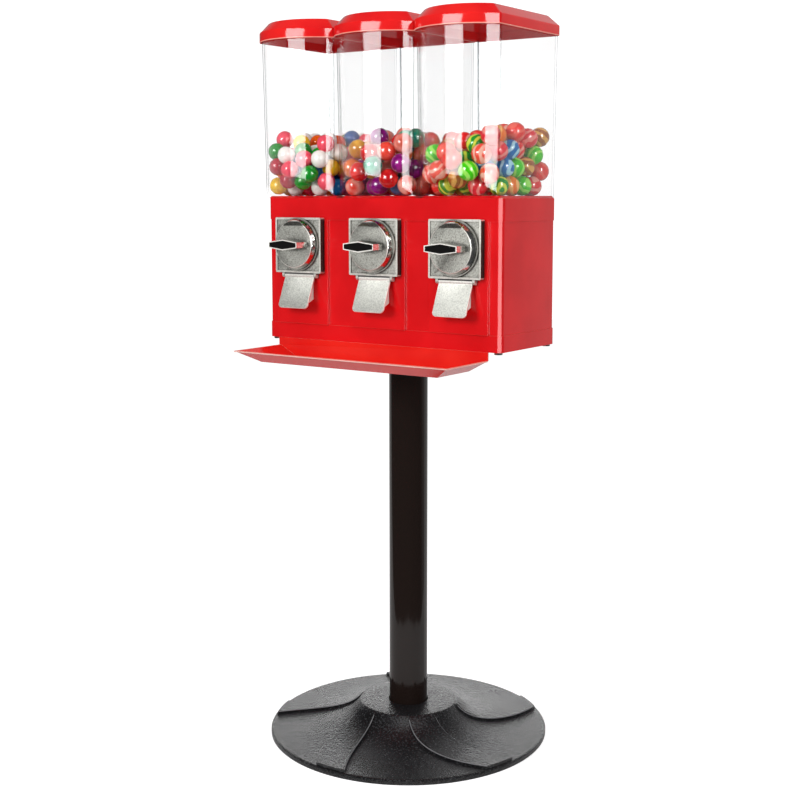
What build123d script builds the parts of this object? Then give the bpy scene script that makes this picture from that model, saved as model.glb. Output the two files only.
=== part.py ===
"""Triple candy dispenser on a pole: three clear canisters over one red body with three coin mechanisms."""

from build123d import *

import os
from math import atan2, cos, pi, radians, sin, sqrt

import numpy as np

# Sizes are in millimetres. The origin is the centre of the base's underside, the front faces -Y.

# Stand
BASE_RADIUS = 200.0
BASE_RIM_HEIGHT = 8.0
BASE_WALL = 6.0
HUB_RADIUS = 70.0
HUB_HEIGHT = 44.0
HUB_SOCKET_DEPTH = 6.0
FLARE_PULL = 26.0
FLARE_UPPER_PULL = 10.0
FLARE_UPPER_LIFT = 6.0
FLARE_LOWER_PULL = 24.0
FLARE_LOWER_LIFT = 1.0
RIB_COUNT = 5
RIB_HEIGHT = 4.0
RIB_RIM_ANGLE = 13.7
RIB_HUB_ANGLE = 31.7
RIB_SWIRL = 24.5
RIB_FIRST_ANGLE = -88.0
RIB_END_GAP = 4.0
POLE_RADIUS = 27.5
POLE_WALL = 2.0
SOCKET_CLEARANCE = 0.15
ROD_RADIUS = 6.0
ROD_STICKOUT = 14.0
NUT_FLATS = 19.0
NUT_HEIGHT = 10.0
WASHER_RADIUS = 18.0
WASHER_THICKNESS = 3.0
HOLE_CLEARANCE = 0.5
FLANGE_RADIUS = 56.0
FLANGE_THICKNESS = 5.0
FLANGE_COLLAR = 22.0
FLANGE_COLLAR_WALL = 4.0
FLANGE_SCREW_CIRCLE = 42.0
SCREW_RADIUS = 3.0
SCREW_HEAD_RADIUS = 5.5
SCREW_HEAD_HEIGHT = 3.0
BOSS_COLUMN_RADIUS = 6.0
BOSS_BORE = 30.0
PLUG_HOLE_RADIUS = 2.0
PLUG_HOLE_CIRCLE = 34.0

# Body
BODY_BOTTOM = 571.0
PAN_HEIGHT = 22.0
SHELL_HEIGHT = 147.0
BAND_HEIGHT = 30.0
BODY_CORNER = 8.0
BODY_WALL = 3.0
PAN_FLOOR = 3.0
STEP_PROUD = 1.0
DECK_THICKNESS = 4.0
HOPPER_SIDE_GAP = 0.4
HOUSING_BACK_GAP = 5.2
JOINT_GAP = 0.3

# Heads
HEAD_COUNT = 3
HEAD_PITCH = 130.5
CANISTER_SPREAD = 1.3
PANEL_WIDTH = 92.0
PANEL_THICKNESS = 4.0
PLATE_WIDTH = 81.0
PLATE_HEIGHT = 77.5
PLATE_THICKNESS = 9.0
PLATE_CORNER = 2.0
PLATE_BORDER = 3.0
PLATE_BORDER_DEPTH = 1.2
PLATE_OVERLAP = 3.0
KNOB_RISE = 40.0
BOSS_RADIUS = 37.0
BOSS_HEIGHT = 2.5

# Knob, shaft and coin mechanism
KNOB_RADIUS = 32.5
KNOB_SKIRT_RADIUS = 35.0
KNOB_HEIGHT = 8.0
KNOB_FACET_CHORD = 36.0
KNOB_FACET_DROP = 3.0
HANDLE_LENGTH = 50.0
HANDLE_MID = 15.0
HANDLE_END = 8.0
HANDLE_HEIGHT = 23.0
HANDLE_RIM = 1.5
INSERT_DEPTH = 3.0
SHAFT_RADIUS = 5.0
RUNNING_CLEARANCE = 0.06
PART_GAP = 0.3
COIN_WHEEL_RADIUS = 31.0
COIN_WHEEL_THICKNESS = 3.6
COIN_RADIUS = 12.6
COIN_SLOT_WIDTH = 28.0
COIN_SLOT_GAP = 2.6
HOUSING_WALL = 2.5
HOUSING_DEPTH = 14.0
PINION_TEETH = 8
PINION_WIDTH = 4.6
TOOTH_HEIGHT = 4.6
TOOTH_ROOT = 2.7
TOOTH_TIP = 1.5
TOOTH_CLEARANCE = 0.5

# Candy wheel and hopper
WHEEL_RATIO = 6
WHEEL_RADIUS = 54.0
WHEEL_THICKNESS = 26.0
POCKET_COUNT = 6
POCKET_RADIUS = 14.6
POCKET_CIRCLE = 33.5
EXIT_RADIUS = 15.5
AXLE_RADIUS = 6.0
HOPPER_WALL = 2.5
HOPPER_FLOOR = 4.6
HOPPER_EDGE = 2.0
ARM_WIDTH = 12.0
ARM_HEIGHT = 5.0
ARM_ROOT = 8.0

# Chute, flap and hinge
CHUTE_HALF_WIDTH = 18.0
CHUTE_CORNER = 4.0
CHUTE_WALL = 2.0
CHUTE_CLEAR_HEIGHT = 32.0
FLAP_WIDTH = 52.0
FLAP_LENGTH = 49.0
FLAP_THICKNESS = 2.6
FLAP_CORNER = 6.0
FLAP_TILT = 22.0
BARREL_RADIUS = 3.4
PIN_RADIUS = 1.5
EAR_WIDTH = 4.0

# Canisters and lids
CANISTER_HEIGHT = 218.0
CANISTER_GAP = 3.8
CANISTER_TAPER = 6.0
CANISTER_CORNER_PROUD = 8.0
CANISTER_BOW_DEPTH = 32.0
CANISTER_DEPTH_TAPER = 3.0
CANISTER_WALL = 2.6
CANISTER_CORNER = 5.0
CANISTER_NECK = 8.0
NECK_INSET = 5.0
CHIN_RISE = 33.0
LID_RIM = 14.0
LID_OVERLAP = 2.0
LID_WALL = 1.2
LID_CLEARANCE = 0.3
LID_FRONT_LAP = 3.0
LID_BACK_LAP = 1.5
LID_CEILING = 2.4
LID_CROWN = 13.0
LID_CROWN_INSET = 14.0

# Candies
GUMBALL_RADIUS = 12.5
CAPSULE_RADIUS = 13.4
BOUNCY_BALL_RADIUS = 13.4
BALL_COUNTS = (102, 82, 82)
BALL_GAP = 0.12
FILL_SEED = 7
FALL_STEP = 1.4
FALL_STEPS = 500
FILL_HEIGHT = 152.0

# Candy tray
TRAY_END_INSET = 18.0
TRAY_END_SLOPE = 30.0
TRAY_LIP_FRONT = 100.0
TRAY_FLOOR_FRONT = 76.0
TRAY_LIP_DROP = 11.0
TRAY_FLOOR_DROP = 27.0
TRAY_SHEET = 1.6
TRAY_TAB = 14.0
TRAY_SCREW_INSET = 46.0

# Cash door and coin box
DOOR_WIDTH = 180.0
DOOR_HEIGHT = 84.0
DOOR_RISE = 14.0
DOOR_CLEARANCE = 0.8
DOOR_EAR = 10.0
LOCK_RADIUS = 9.5
LOCK_DEPTH = 2.0
CAM_LENGTH = 30.0
CAM_WIDTH = 12.0
CAM_THICKNESS = 2.5
COIN_BOX_WIDTH = 300.0
COIN_BOX_DEPTH = 62.0
COIN_BOX_HEIGHT = 38.0
COIN_BOX_WALL = 2.0
COIN_BOX_BACK_GAP = 14.0

# Heights and depths that follow from the sizes above
SHELL_BOTTOM = BODY_BOTTOM + PAN_HEIGHT
BAND_BOTTOM = SHELL_BOTTOM + SHELL_HEIGHT
BODY_TOP = BAND_BOTTOM + BAND_HEIGHT

HEAD_X = [HEAD_PITCH * (i - (HEAD_COUNT - 1) / 2) for i in range(HEAD_COUNT)]
HOPPER_RADIUS = WHEEL_RADIUS + PART_GAP
HOPPER_OUTER_RADIUS = HOPPER_RADIUS + HOPPER_WALL
CANISTER_PITCH = HEAD_PITCH + CANISTER_SPREAD
CANISTER_WIDTH_TOP = CANISTER_PITCH - CANISTER_GAP
CANISTER_WIDTH_LOW = CANISTER_WIDTH_TOP - CANISTER_TAPER
FUNNEL_HALF = CANISTER_WIDTH_LOW / 2 - NECK_INSET + PART_GAP + CANISTER_SPREAD
HOPPER_HALF = max(FUNNEL_HALF + HOPPER_WALL, HOPPER_OUTER_RADIUS)
BODY_WIDTH = 2 * (HEAD_X[-1] + HOPPER_HALF + HOPPER_SIDE_GAP + BODY_WALL)
BODY_DEPTH = 2 * (HOPPER_OUTER_RADIUS + HOUSING_BACK_GAP + HOUSING_DEPTH - PANEL_THICKNESS)
BODY_FRONT = -BODY_DEPTH / 2
BODY_BACK = BODY_DEPTH / 2
PANEL_FRONT = BODY_FRONT - PANEL_THICKNESS
PLATE_FRONT = PANEL_FRONT - PLATE_THICKNESS
PLATE_TOP = BAND_BOTTOM + PLATE_OVERLAP
PLATE_BOTTOM = PLATE_TOP - PLATE_HEIGHT
KNOB_Z = PLATE_BOTTOM + KNOB_RISE
POLE_BOTTOM = HUB_HEIGHT - HUB_SOCKET_DEPTH
POLE_TOP = BODY_BOTTOM - FLANGE_THICKNESS
TRAY_LIP_HALF = BODY_WIDTH / 2 - TRAY_END_INSET
TRAY_FLOOR_HALF = TRAY_LIP_HALF - TRAY_END_SLOPE
CANISTER_BACK = BODY_BACK
CANISTER_CORNER_FRONT = CANISTER_CORNER_PROUD - BODY_FRONT
CANISTER_BOW = CANISTER_CORNER_FRONT + CANISTER_BOW_DEPTH
CANISTER_X = [CANISTER_PITCH * (i - (HEAD_COUNT - 1) / 2) for i in range(HEAD_COUNT)]

PINION_PITCH_RADIUS = WHEEL_RADIUS * 0.96 / WHEEL_RATIO
WHEEL_TEETH = PINION_TEETH * WHEEL_RATIO
WHEEL_UNDER = KNOB_Z + PINION_PITCH_RADIUS + TOOTH_HEIGHT / 2
WHEEL_TOP = WHEEL_UNDER + WHEEL_THICKNESS
TOOTH_RING_INNER = WHEEL_RADIUS - PINION_WIDTH
FLOOR_TOP = WHEEL_UNDER - PART_GAP
FLOOR_BOTTOM = FLOOR_TOP - HOPPER_FLOOR
FLOOR_RADIUS = TOOTH_RING_INNER - PART_GAP
HOPPER_TOP = BODY_TOP - DECK_THICKNESS

HINGE_Z = PLATE_BOTTOM - BARREL_RADIUS - PART_GAP
HINGE_Y = PANEL_FRONT - BARREL_RADIUS - PART_GAP
CANISTER_TOP = BODY_TOP + CANISTER_HEIGHT
LID_BOTTOM = CANISTER_TOP - LID_OVERLAP
LID_RIM_TOP = LID_BOTTOM + LID_RIM


def place(shape, x=0.0, y=0.0, z=0.0):
    """Moves a shape to a point."""
    return Pos(x, y, z) * shape


def block(x0, x1, y0, y1, z0, z1):
    """A box between two corners."""
    centre = Pos((x0 + x1) / 2, (y0 + y1) / 2, (z0 + z1) / 2)
    return centre * Box(x1 - x0, y1 - y0, z1 - z0)


def rod_z(radius, z0, z1):
    """An upright cylinder on the Z axis."""
    return place(Cylinder(radius, z1 - z0), z=(z0 + z1) / 2)


def rod_y(radius, y0, y1, z=0.0):
    """A cylinder along Y at a height."""
    return Pos(0, (y0 + y1) / 2, z) * Rot(90, 0, 0) * Cylinder(radius, y1 - y0)


def rod_x(radius, x0, x1, y, z):
    """A cylinder along X."""
    return Pos((x0 + x1) / 2, y, z) * Rot(0, 90, 0) * Cylinder(radius, x1 - x0)


def rounded_box(width, depth, z0, z1, corner):
    """An upright box with round vertical edges."""
    return Pos(0, 0, z0) * extrude(RectangleRounded(width, depth, corner), z1 - z0)


def yz_prism(points, half_width):
    """A profile of (y, z) points, extruded to both sides of the YZ plane."""
    face = make_face(Polyline([(0, y, z) for y, z in points], close=True))
    return extrude(face, half_width, dir=(1, 0, 0), both=True)


def nut(flats, bore, z0, height):
    """A hexagon nut on the Z axis."""
    hexagon = extrude(RegularPolygon(flats / 2, 6, major_radius=False), height)
    return place(hexagon, z=z0) - rod_z(bore, z0 - 1, z0 + height + 1)


def flare_profile(lift):
    """The bell-shaped outline of the base in the XZ plane, raised by lift."""
    rim = BASE_RIM_HEIGHT + lift
    hub = HUB_HEIGHT + lift
    upper_pull = (HUB_RADIUS + FLARE_PULL - FLARE_UPPER_PULL, 0, rim + FLARE_UPPER_LIFT)
    lower_pull = (HUB_RADIUS + FLARE_PULL + FLARE_LOWER_PULL, 0, rim + FLARE_LOWER_LIFT)
    flare = Bezier((HUB_RADIUS, 0, hub), upper_pull, lower_pull, (BASE_RADIUS, 0, rim))
    return flare, rim, hub


def flare_solid(lift, outer, floor):
    """Everything below the bell-shaped outline, out to a radius."""
    flare, rim, hub = flare_profile(lift)
    edges = [
        flare,
        Line((BASE_RADIUS, 0, rim), (BASE_RADIUS, 0, floor)),
        Line((BASE_RADIUS, 0, floor), (0, 0, floor)),
        Line((0, 0, floor), (0, 0, hub)),
        Line((0, 0, hub), (HUB_RADIUS, 0, hub)),
    ]
    solid = revolve(make_face(edges), Axis.Z)
    if outer < BASE_RADIUS:
        solid = solid & rod_z(outer, floor - 1, hub + 1)
    return solid


def base_casting():
    """A cast dish with five swept ribs; the rod and the pole's socket are at its centre."""
    dish = flare_solid(0, BASE_RADIUS, 0)
    hollow = flare_solid(-BASE_WALL, BASE_RADIUS - BASE_WALL, -BASE_WALL - HUB_HEIGHT)
    boss_low = HUB_HEIGHT - BASE_WALL - HUB_SOCKET_DEPTH
    casting = dish - hollow + rod_z(POLE_RADIUS + BASE_WALL, boss_low, HUB_HEIGHT)
    skin = flare_solid(RIB_HEIGHT, BASE_RADIUS - RIB_END_GAP, 0) - rod_z(HUB_RADIUS, -1, HUB_HEIGHT * 2)
    skin = skin - flare_solid(-BASE_WALL / 2, BASE_RADIUS, -HUB_HEIGHT)
    for i in range(RIB_COUNT):
        casting = casting + (skin & rib_sector(RIB_FIRST_ANGLE + i * 360 / RIB_COUNT))
    casting = casting - rod_z(POLE_RADIUS + SOCKET_CLEARANCE, POLE_BOTTOM, HUB_HEIGHT + 1)
    casting = casting - rod_z(ROD_RADIUS + HOLE_CLEARANCE, 0, HUB_HEIGHT)
    for angle in (-133, 57):
        x = PLUG_HOLE_CIRCLE * cos(radians(angle))
        y = PLUG_HOLE_CIRCLE * sin(radians(angle))
        casting = casting - place(rod_z(PLUG_HOLE_RADIUS, HUB_HEIGHT - BASE_WALL * 3, HUB_HEIGHT + 1), x, y)
    return casting


def rib_sector(rim_angle):
    """The plan of one rib, swept back towards the hub, as an upright prism."""
    low = radians(rim_angle - RIB_RIM_ANGLE / 2)
    high = radians(rim_angle + RIB_RIM_ANGLE / 2)
    hub_low = radians(rim_angle - RIB_SWIRL - RIB_HUB_ANGLE / 2)
    hub_high = radians(rim_angle - RIB_SWIRL + RIB_HUB_ANGLE / 2)
    inner = HUB_RADIUS * 0.9
    outer = BASE_RADIUS * 1.1

    def at(radius, angle):
        return (radius * cos(angle), radius * sin(angle))

    middle = (inner + outer) / 2
    side_low = ThreePointArc(at(inner, hub_low), at(middle, (low + hub_low) / 2), at(outer, low))
    side_high = ThreePointArc(at(inner, hub_high), at(middle, (high + hub_high) / 2), at(outer, high))
    ends = [Line(at(inner, hub_low), at(inner, hub_high)), Line(at(outer, low), at(outer, high))]
    return extrude(make_face([side_low, side_high] + ends), HUB_HEIGHT * 2)


def stand():
    """The base, the pole and what ties them to the body."""
    parts = {"base_casting": base_casting()}
    tube = rod_z(POLE_RADIUS, POLE_BOTTOM, POLE_TOP) - rod_z(POLE_RADIUS - POLE_WALL, 0, POLE_TOP + 1)
    parts["pole"] = tube

    under = HUB_HEIGHT - BASE_WALL - HUB_SOCKET_DEPTH
    rod_low = under - WASHER_THICKNESS - NUT_HEIGHT - ROD_STICKOUT / 2
    pan_top = BODY_BOTTOM + PAN_FLOOR
    rod_high = pan_top + WASHER_THICKNESS + NUT_HEIGHT + ROD_STICKOUT / 2
    parts["tie_rod"] = rod_z(ROD_RADIUS, rod_low, rod_high)
    washers, nuts = [], []
    for seat, side in ((under, -1), (pan_top, 1)):
        washer_end = seat + side * WASHER_THICKNESS
        nut_end = washer_end + side * NUT_HEIGHT
        ring = rod_z(WASHER_RADIUS, min(seat, washer_end), max(seat, washer_end))
        washers.append(ring - rod_z(ROD_RADIUS + HOLE_CLEARANCE / 2, seat - 20, seat + 20))
        nuts.append(nut(NUT_FLATS, ROD_RADIUS, min(washer_end, nut_end), NUT_HEIGHT))
    parts["rod_nuts"] = Compound(washers + nuts)

    collar_radius = POLE_RADIUS + SOCKET_CLEARANCE + FLANGE_COLLAR_WALL
    collar = rod_z(collar_radius, POLE_TOP - FLANGE_COLLAR, POLE_TOP)
    flange = rod_z(FLANGE_RADIUS, POLE_TOP, BODY_BOTTOM) + collar
    flange = flange - rod_z(POLE_RADIUS + SOCKET_CLEARANCE, POLE_TOP - FLANGE_COLLAR - 1, POLE_TOP)
    flange = flange - rod_z(ROD_RADIUS + HOLE_CLEARANCE, POLE_TOP - 1, BODY_BOTTOM + 1)
    screws = []
    for x, y in flange_screw_points():
        flange = flange - place(rod_z(SCREW_RADIUS + HOLE_CLEARANCE / 2, POLE_TOP - 1, BODY_BOTTOM + 1), x, y)
        shank = rod_z(SCREW_RADIUS, POLE_TOP, pan_top + SCREW_HEAD_HEIGHT * 2)
        head = rod_z(SCREW_HEAD_RADIUS, POLE_TOP - SCREW_HEAD_HEIGHT, POLE_TOP)
        top_nut = nut(SCREW_HEAD_RADIUS * 1.8, 0.5, pan_top, SCREW_HEAD_HEIGHT * 1.5)
        screws.append(place(shank + head + top_nut, x, y))
    parts["pole_flange"] = flange
    parts["flange_screws"] = Compound(screws)
    return parts


def flange_screw_points():
    """Where the four flange screws go through."""
    spots = []
    for i in range(4):
        angle = pi / 4 + i * pi / 2
        spots.append((FLANGE_SCREW_CIRCLE * cos(angle), FLANGE_SCREW_CIRCLE * sin(angle)))
    return spots


def box_shell(z0, z1, proud):
    """A rounded rectangular wall ring of the body."""
    outer = rounded_box(BODY_WIDTH + 2 * proud, BODY_DEPTH + 2 * proud, z0, z1, BODY_CORNER + proud)
    inner_corner = BODY_CORNER - BODY_WALL
    inner = rounded_box(BODY_WIDTH - 2 * BODY_WALL, BODY_DEPTH - 2 * BODY_WALL, z0 - 1, z1 + 1, inner_corner)
    return outer - inner


def door_box(clearance):
    """The outline of the cash door in the rear wall."""
    half = DOOR_WIDTH / 2 + clearance
    low = SHELL_BOTTOM + DOOR_RISE - clearance
    high = SHELL_BOTTOM + DOOR_RISE + DOOR_HEIGHT + clearance
    return block(-half, half, BODY_BACK - BODY_WALL - 1, BODY_BACK + 1, low, high)


def body():
    """Bottom pan, main shell and hopper band."""
    parts = {}
    pan = box_shell(BODY_BOTTOM, SHELL_BOTTOM, STEP_PROUD)
    floor = rounded_box(BODY_WIDTH, BODY_DEPTH, BODY_BOTTOM, BODY_BOTTOM + PAN_FLOOR, BODY_CORNER)
    pan = pan + floor - rod_z(ROD_RADIUS + HOLE_CLEARANCE, BODY_BOTTOM - 1, BODY_BOTTOM + PAN_FLOOR + 1)
    for x, y in flange_screw_points() + pan_screw_points() + tray_screw_points():
        hole = rod_z(SCREW_RADIUS + HOLE_CLEARANCE / 2, BODY_BOTTOM - 1, BODY_BOTTOM + PAN_FLOOR + 1)
        pan = pan - place(hole, x, y)
    parts["bottom_pan"] = pan

    shell = box_shell(SHELL_BOTTOM, BAND_BOTTOM, 0)
    half_panel = PANEL_WIDTH / 2
    opening = HOUSING_DEPTH + BODY_WALL
    for x in HEAD_X:
        panel = block(x - half_panel, x + half_panel, PANEL_FRONT, BODY_FRONT, SHELL_BOTTOM, BAND_BOTTOM)
        shell = shell + panel
    for x in HEAD_X:
        hole_radius = COIN_WHEEL_RADIUS + HOUSING_WALL + PART_GAP * 2
        hole = rod_y(hole_radius, PANEL_FRONT - 1, BODY_FRONT + opening, KNOB_Z)
        shell = shell - place(hole, x) - place(chute_prism(CHUTE_WALL + PART_GAP), x)
    shell = shell - door_box(DOOR_CLEARANCE)
    boss_low = BODY_BOTTOM + PAN_FLOOR + PART_GAP
    for x, y in pan_screw_points():
        foot = rod_z(BOSS_COLUMN_RADIUS - 1 - PART_GAP, boss_low, SHELL_BOTTOM)
        boss = rod_z(BOSS_COLUMN_RADIUS, SHELL_BOTTOM, BAND_BOTTOM) + foot
        boss = boss - rod_z(SCREW_RADIUS, boss_low - 1, boss_low + BOSS_BORE)
        shell = shell + place(boss, x, y)
    parts["body_shell"] = shell

    band = box_shell(BAND_BOTTOM, BODY_TOP, STEP_PROUD)
    deck = rounded_box(BODY_WIDTH, BODY_DEPTH, HOPPER_TOP, BODY_TOP, BODY_CORNER)
    for x in CANISTER_X:
        deck = deck - place(neck_block(PART_GAP), x)
    parts["hopper_band"] = band + deck
    return parts


def pan_screw_points():
    """The four inner corners where a column of the shell meets the pan."""
    x = BODY_WIDTH / 2 - BODY_WALL - BOSS_COLUMN_RADIUS + 1
    y = BODY_DEPTH / 2 - BODY_WALL - BOSS_COLUMN_RADIUS + 1
    return [(sx * x, sy * y) for sx in (-1, 1) for sy in (-1, 1)]


def tray_screw_points():
    """Where the tray's tab is screwed to the pan."""
    x = TRAY_LIP_HALF - TRAY_SCREW_INSET
    return [(side * x, BODY_FRONT + TRAY_TAB / 2) for side in (-1, 1)]


def neck_block(clearance):
    """The rectangular neck of a canister, from below the deck to its top."""
    half = CANISTER_WIDTH_LOW / 2 - NECK_INSET + clearance
    depth = BODY_DEPTH / 2 - BODY_WALL - NECK_INSET + clearance
    return rounded_box(2 * half, 2 * depth, HOPPER_TOP - CANISTER_NECK, BODY_TOP, CANISTER_CORNER + clearance)


def candy_tray():
    """A folded sheet tray: flat floor, sloped front and ends, upright back with a tab under the pan."""
    front = BODY_FRONT
    lip_z = BODY_BOTTOM - TRAY_LIP_DROP
    floor_z = BODY_BOTTOM - TRAY_FLOOR_DROP

    def trough(inset, low, high):
        slope = (TRAY_LIP_HALF - TRAY_FLOOR_HALF) / (TRAY_FLOOR_DROP - TRAY_LIP_DROP)
        depth_slope = (TRAY_LIP_FRONT - TRAY_FLOOR_FRONT) / (TRAY_FLOOR_DROP - TRAY_LIP_DROP)
        sections = []
        for z in (low, high):
            half = TRAY_FLOOR_HALF - inset + slope * (z - floor_z)
            reach = TRAY_FLOOR_FRONT - inset + depth_slope * (z - floor_z)
            centre_y = front - reach / 2
            sections.append(Pos(0, centre_y, z) * Rectangle(2 * half, reach))
        return loft(sections)

    inset = TRAY_SHEET * 2.1
    tray = trough(0, floor_z, lip_z) - trough(inset, floor_z + TRAY_SHEET, lip_z + TRAY_SHEET)
    back = block(-TRAY_LIP_HALF, TRAY_LIP_HALF, front - TRAY_SHEET, front, lip_z, BODY_BOTTOM)
    back = back + block(-TRAY_FLOOR_HALF, TRAY_FLOOR_HALF, front - TRAY_SHEET, front, floor_z, lip_z)
    ears = make_face(
        Polyline(
            (-TRAY_FLOOR_HALF, front, floor_z),
            (TRAY_FLOOR_HALF, front, floor_z),
            (TRAY_LIP_HALF, front, lip_z),
            (-TRAY_LIP_HALF, front, lip_z),
            close=True,
        )
    )
    back = back + extrude(ears, TRAY_SHEET, dir=(0, -1, 0))
    tab_half = TRAY_LIP_HALF - TRAY_SCREW_INSET / 2
    under = BODY_BOTTOM - TRAY_SHEET
    tab = block(-tab_half, tab_half, front - TRAY_SHEET, front + TRAY_TAB, under, BODY_BOTTOM)
    tray = tray + back + tab
    for x, y in tray_screw_points():
        tray = tray - place(rod_z(SCREW_RADIUS + HOLE_CLEARANCE / 2, floor_z, BODY_BOTTOM + 1), x, y)
    return tray


def flap_angle_point(distance, offset):
    """A (y, z) point along the tilted flap, measured from its hinge; offset is towards the body."""
    tilt = radians(FLAP_TILT)
    y = HINGE_Y - distance * sin(tilt) + offset * cos(tilt)
    z = HINGE_Z - distance * cos(tilt) - offset * sin(tilt)
    return y, z


def chute_prism(grow):
    """The candy's way from the exit hole to the front, thickened by grow."""
    top = FLOOR_BOTTOM - PART_GAP
    back = POCKET_CIRCLE + EXIT_RADIUS + 1 + grow
    front_top = POCKET_CIRCLE - EXIT_RADIUS - 1 - grow
    mouth_low = flap_angle_point(FLAP_LENGTH - 6 + grow * 0.8, FLAP_THICKNESS / 2 + PART_GAP)
    mouth_high = flap_angle_point(BARREL_RADIUS * 2.2, FLAP_THICKNESS / 2 + PART_GAP)
    mouth_high = (mouth_high[0], mouth_high[1] + grow * 0.2)
    knee = top - 20
    profile = [
        (front_top, top),
        (back, top),
        (back, knee - 4 - grow),
        mouth_low,
        mouth_high,
        (BODY_FRONT + 12, mouth_high[1] + grow * 0.6),
        (front_top, knee + 12 + grow),
    ]
    prism = yz_prism(profile, CHUTE_HALF_WIDTH + grow)
    back_edges = prism.edges().filter_by(Axis.Z).sort_by(Axis.Y)[-2:]
    return fillet(back_edges, CHUTE_CORNER + grow)


def chute():
    """A moulded duct from the exit hole down to the flap."""
    return chute_prism(CHUTE_WALL) - stretched_duct()


def stretched_duct():
    """The inside of the chute, run out past both of its mouths."""
    inner = chute_prism(0)
    faces = inner.faces()
    top = faces.sort_by(Axis.Z)[-1]
    mouth = [f for f in faces if abs(f.normal_at().Z) < 0.6 and f.normal_at().Y < -0.5][0]
    return inner + extrude(top, 3) + extrude(mouth, 6)


def front_plate():
    """A cast plate with a raised border, a round boss, a coin slot and two hinge ears."""
    half = PLATE_WIDTH / 2
    plate = Pos(0, PLATE_FRONT, (PLATE_TOP + PLATE_BOTTOM) / 2) * Rot(-90, 0, 0)
    plate = plate * extrude(RectangleRounded(PLATE_WIDTH, PLATE_HEIGHT, PLATE_CORNER), PLATE_THICKNESS)
    inner_half = half - PLATE_BORDER
    low = PLATE_BOTTOM + PLATE_BORDER
    high = PLATE_TOP - PLATE_BORDER
    recess_depth = PLATE_FRONT + PLATE_BORDER_DEPTH
    plate = plate - block(-inner_half, inner_half, PLATE_FRONT - 1, recess_depth, low, high)
    boss = rod_y(BOSS_RADIUS, PLATE_FRONT - BOSS_HEIGHT, PLATE_FRONT + PLATE_BORDER_DEPTH + 0.5, KNOB_Z)
    plate = plate + boss
    plate = plate - rod_y(SHAFT_RADIUS + RUNNING_CLEARANCE, PLATE_FRONT - 5, PANEL_FRONT + 1, KNOB_Z)
    recess_front = PANEL_FRONT - COIN_WHEEL_THICKNESS - PART_GAP
    plate = plate - rod_y(COIN_WHEEL_RADIUS + PART_GAP, recess_front, PANEL_FRONT + 1, KNOB_Z)
    slot_y = PANEL_FRONT - COIN_WHEEL_THICKNESS / 2 - COIN_SLOT_GAP / 2
    slot_half = COIN_SLOT_WIDTH / 2
    plate = plate - block(-slot_half, slot_half, slot_y, slot_y + COIN_SLOT_GAP, KNOB_Z + 20, PLATE_TOP + 1)
    for side in (-1, 1):
        inside = side * (FLAP_WIDTH / 2 + PART_GAP)
        outside = inside + side * EAR_WIDTH
        x0, x1 = sorted((inside, outside))
        ear = rod_x(BARREL_RADIUS, x0, x1, HINGE_Y, HINGE_Z)
        ear = ear + block(x0, x1, HINGE_Y - BARREL_RADIUS, PANEL_FRONT, HINGE_Z, PLATE_BOTTOM)
        plate = plate + ear
    return plate - rod_x(PIN_RADIUS, -half, half, HINGE_Y, HINGE_Z)


def knob():
    """A round cast knob with a flat facet at its top and a long handle bar; its shaft is a separate piece."""
    back = PLATE_FRONT - BOSS_HEIGHT - PART_GAP
    face = back - KNOB_HEIGHT
    profile = [
        (0, 0, back),
        (KNOB_SKIRT_RADIUS, 0, back),
        (KNOB_SKIRT_RADIUS, 0, back - 2),
        (KNOB_RADIUS, 0, face + 0.8),
        (KNOB_RADIUS - 0.8, 0, face),
        (0, 0, face),
    ]
    turned = revolve(make_face(Polyline([(r, 0, -y) for r, _, y in profile], close=True)), Axis.Z)
    disc = Rot(90, 0, 0) * turned
    chord = sqrt(KNOB_RADIUS**2 - (KNOB_FACET_CHORD / 2) ** 2)
    outside = 2 * KNOB_RADIUS
    deep = face + KNOB_FACET_DROP
    facet = [(face, chord - 1), (face - 1, chord - 1), (face - 1, outside)]
    facet += [(deep, outside), (deep, KNOB_RADIUS)]
    wedge = yz_prism(facet, outside)
    disc = disc - wedge
    tip = face - HANDLE_HEIGHT
    disc = disc + handle_prism(0, tip, face + 1) - handle_prism(HANDLE_RIM, tip - 1, tip + INSERT_DEPTH)
    disc = disc - rod_y(SHAFT_RADIUS, back - KNOB_HEIGHT * 0.75, back + 1)
    return place(disc, z=KNOB_Z)


def handle_prism(inset, y0, y1):
    """The long six-sided outline of the handle."""
    end_x = HANDLE_LENGTH / 2 - inset
    end_z = HANDLE_END / 2 - inset * 0.7
    mid_z = HANDLE_MID / 2 - inset
    outline = [(-end_x, -end_z), (0, -mid_z), (end_x, -end_z), (end_x, end_z), (0, mid_z), (-end_x, end_z)]
    face = make_face(Polyline([(px, y0, pz) for px, pz in outline], close=True))
    return extrude(face, y1 - y0, dir=(0, 1, 0))


def knob_insert():
    """The dark strip let into the handle's front."""
    tip = PLATE_FRONT - BOSS_HEIGHT - PART_GAP - KNOB_HEIGHT - HANDLE_HEIGHT
    strip = handle_prism(HANDLE_RIM + 0.1, tip + 1, tip + INSERT_DEPTH)
    return place(strip, z=KNOB_Z)


def shaft():
    """The shaft from the knob to the pinion, with a flat-sided coin wheel seat."""
    front = PLATE_FRONT - BOSS_HEIGHT - PART_GAP - KNOB_HEIGHT * 0.75
    back = -TOOTH_RING_INNER
    return rod_y(SHAFT_RADIUS, front, back, KNOB_Z)


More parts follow.
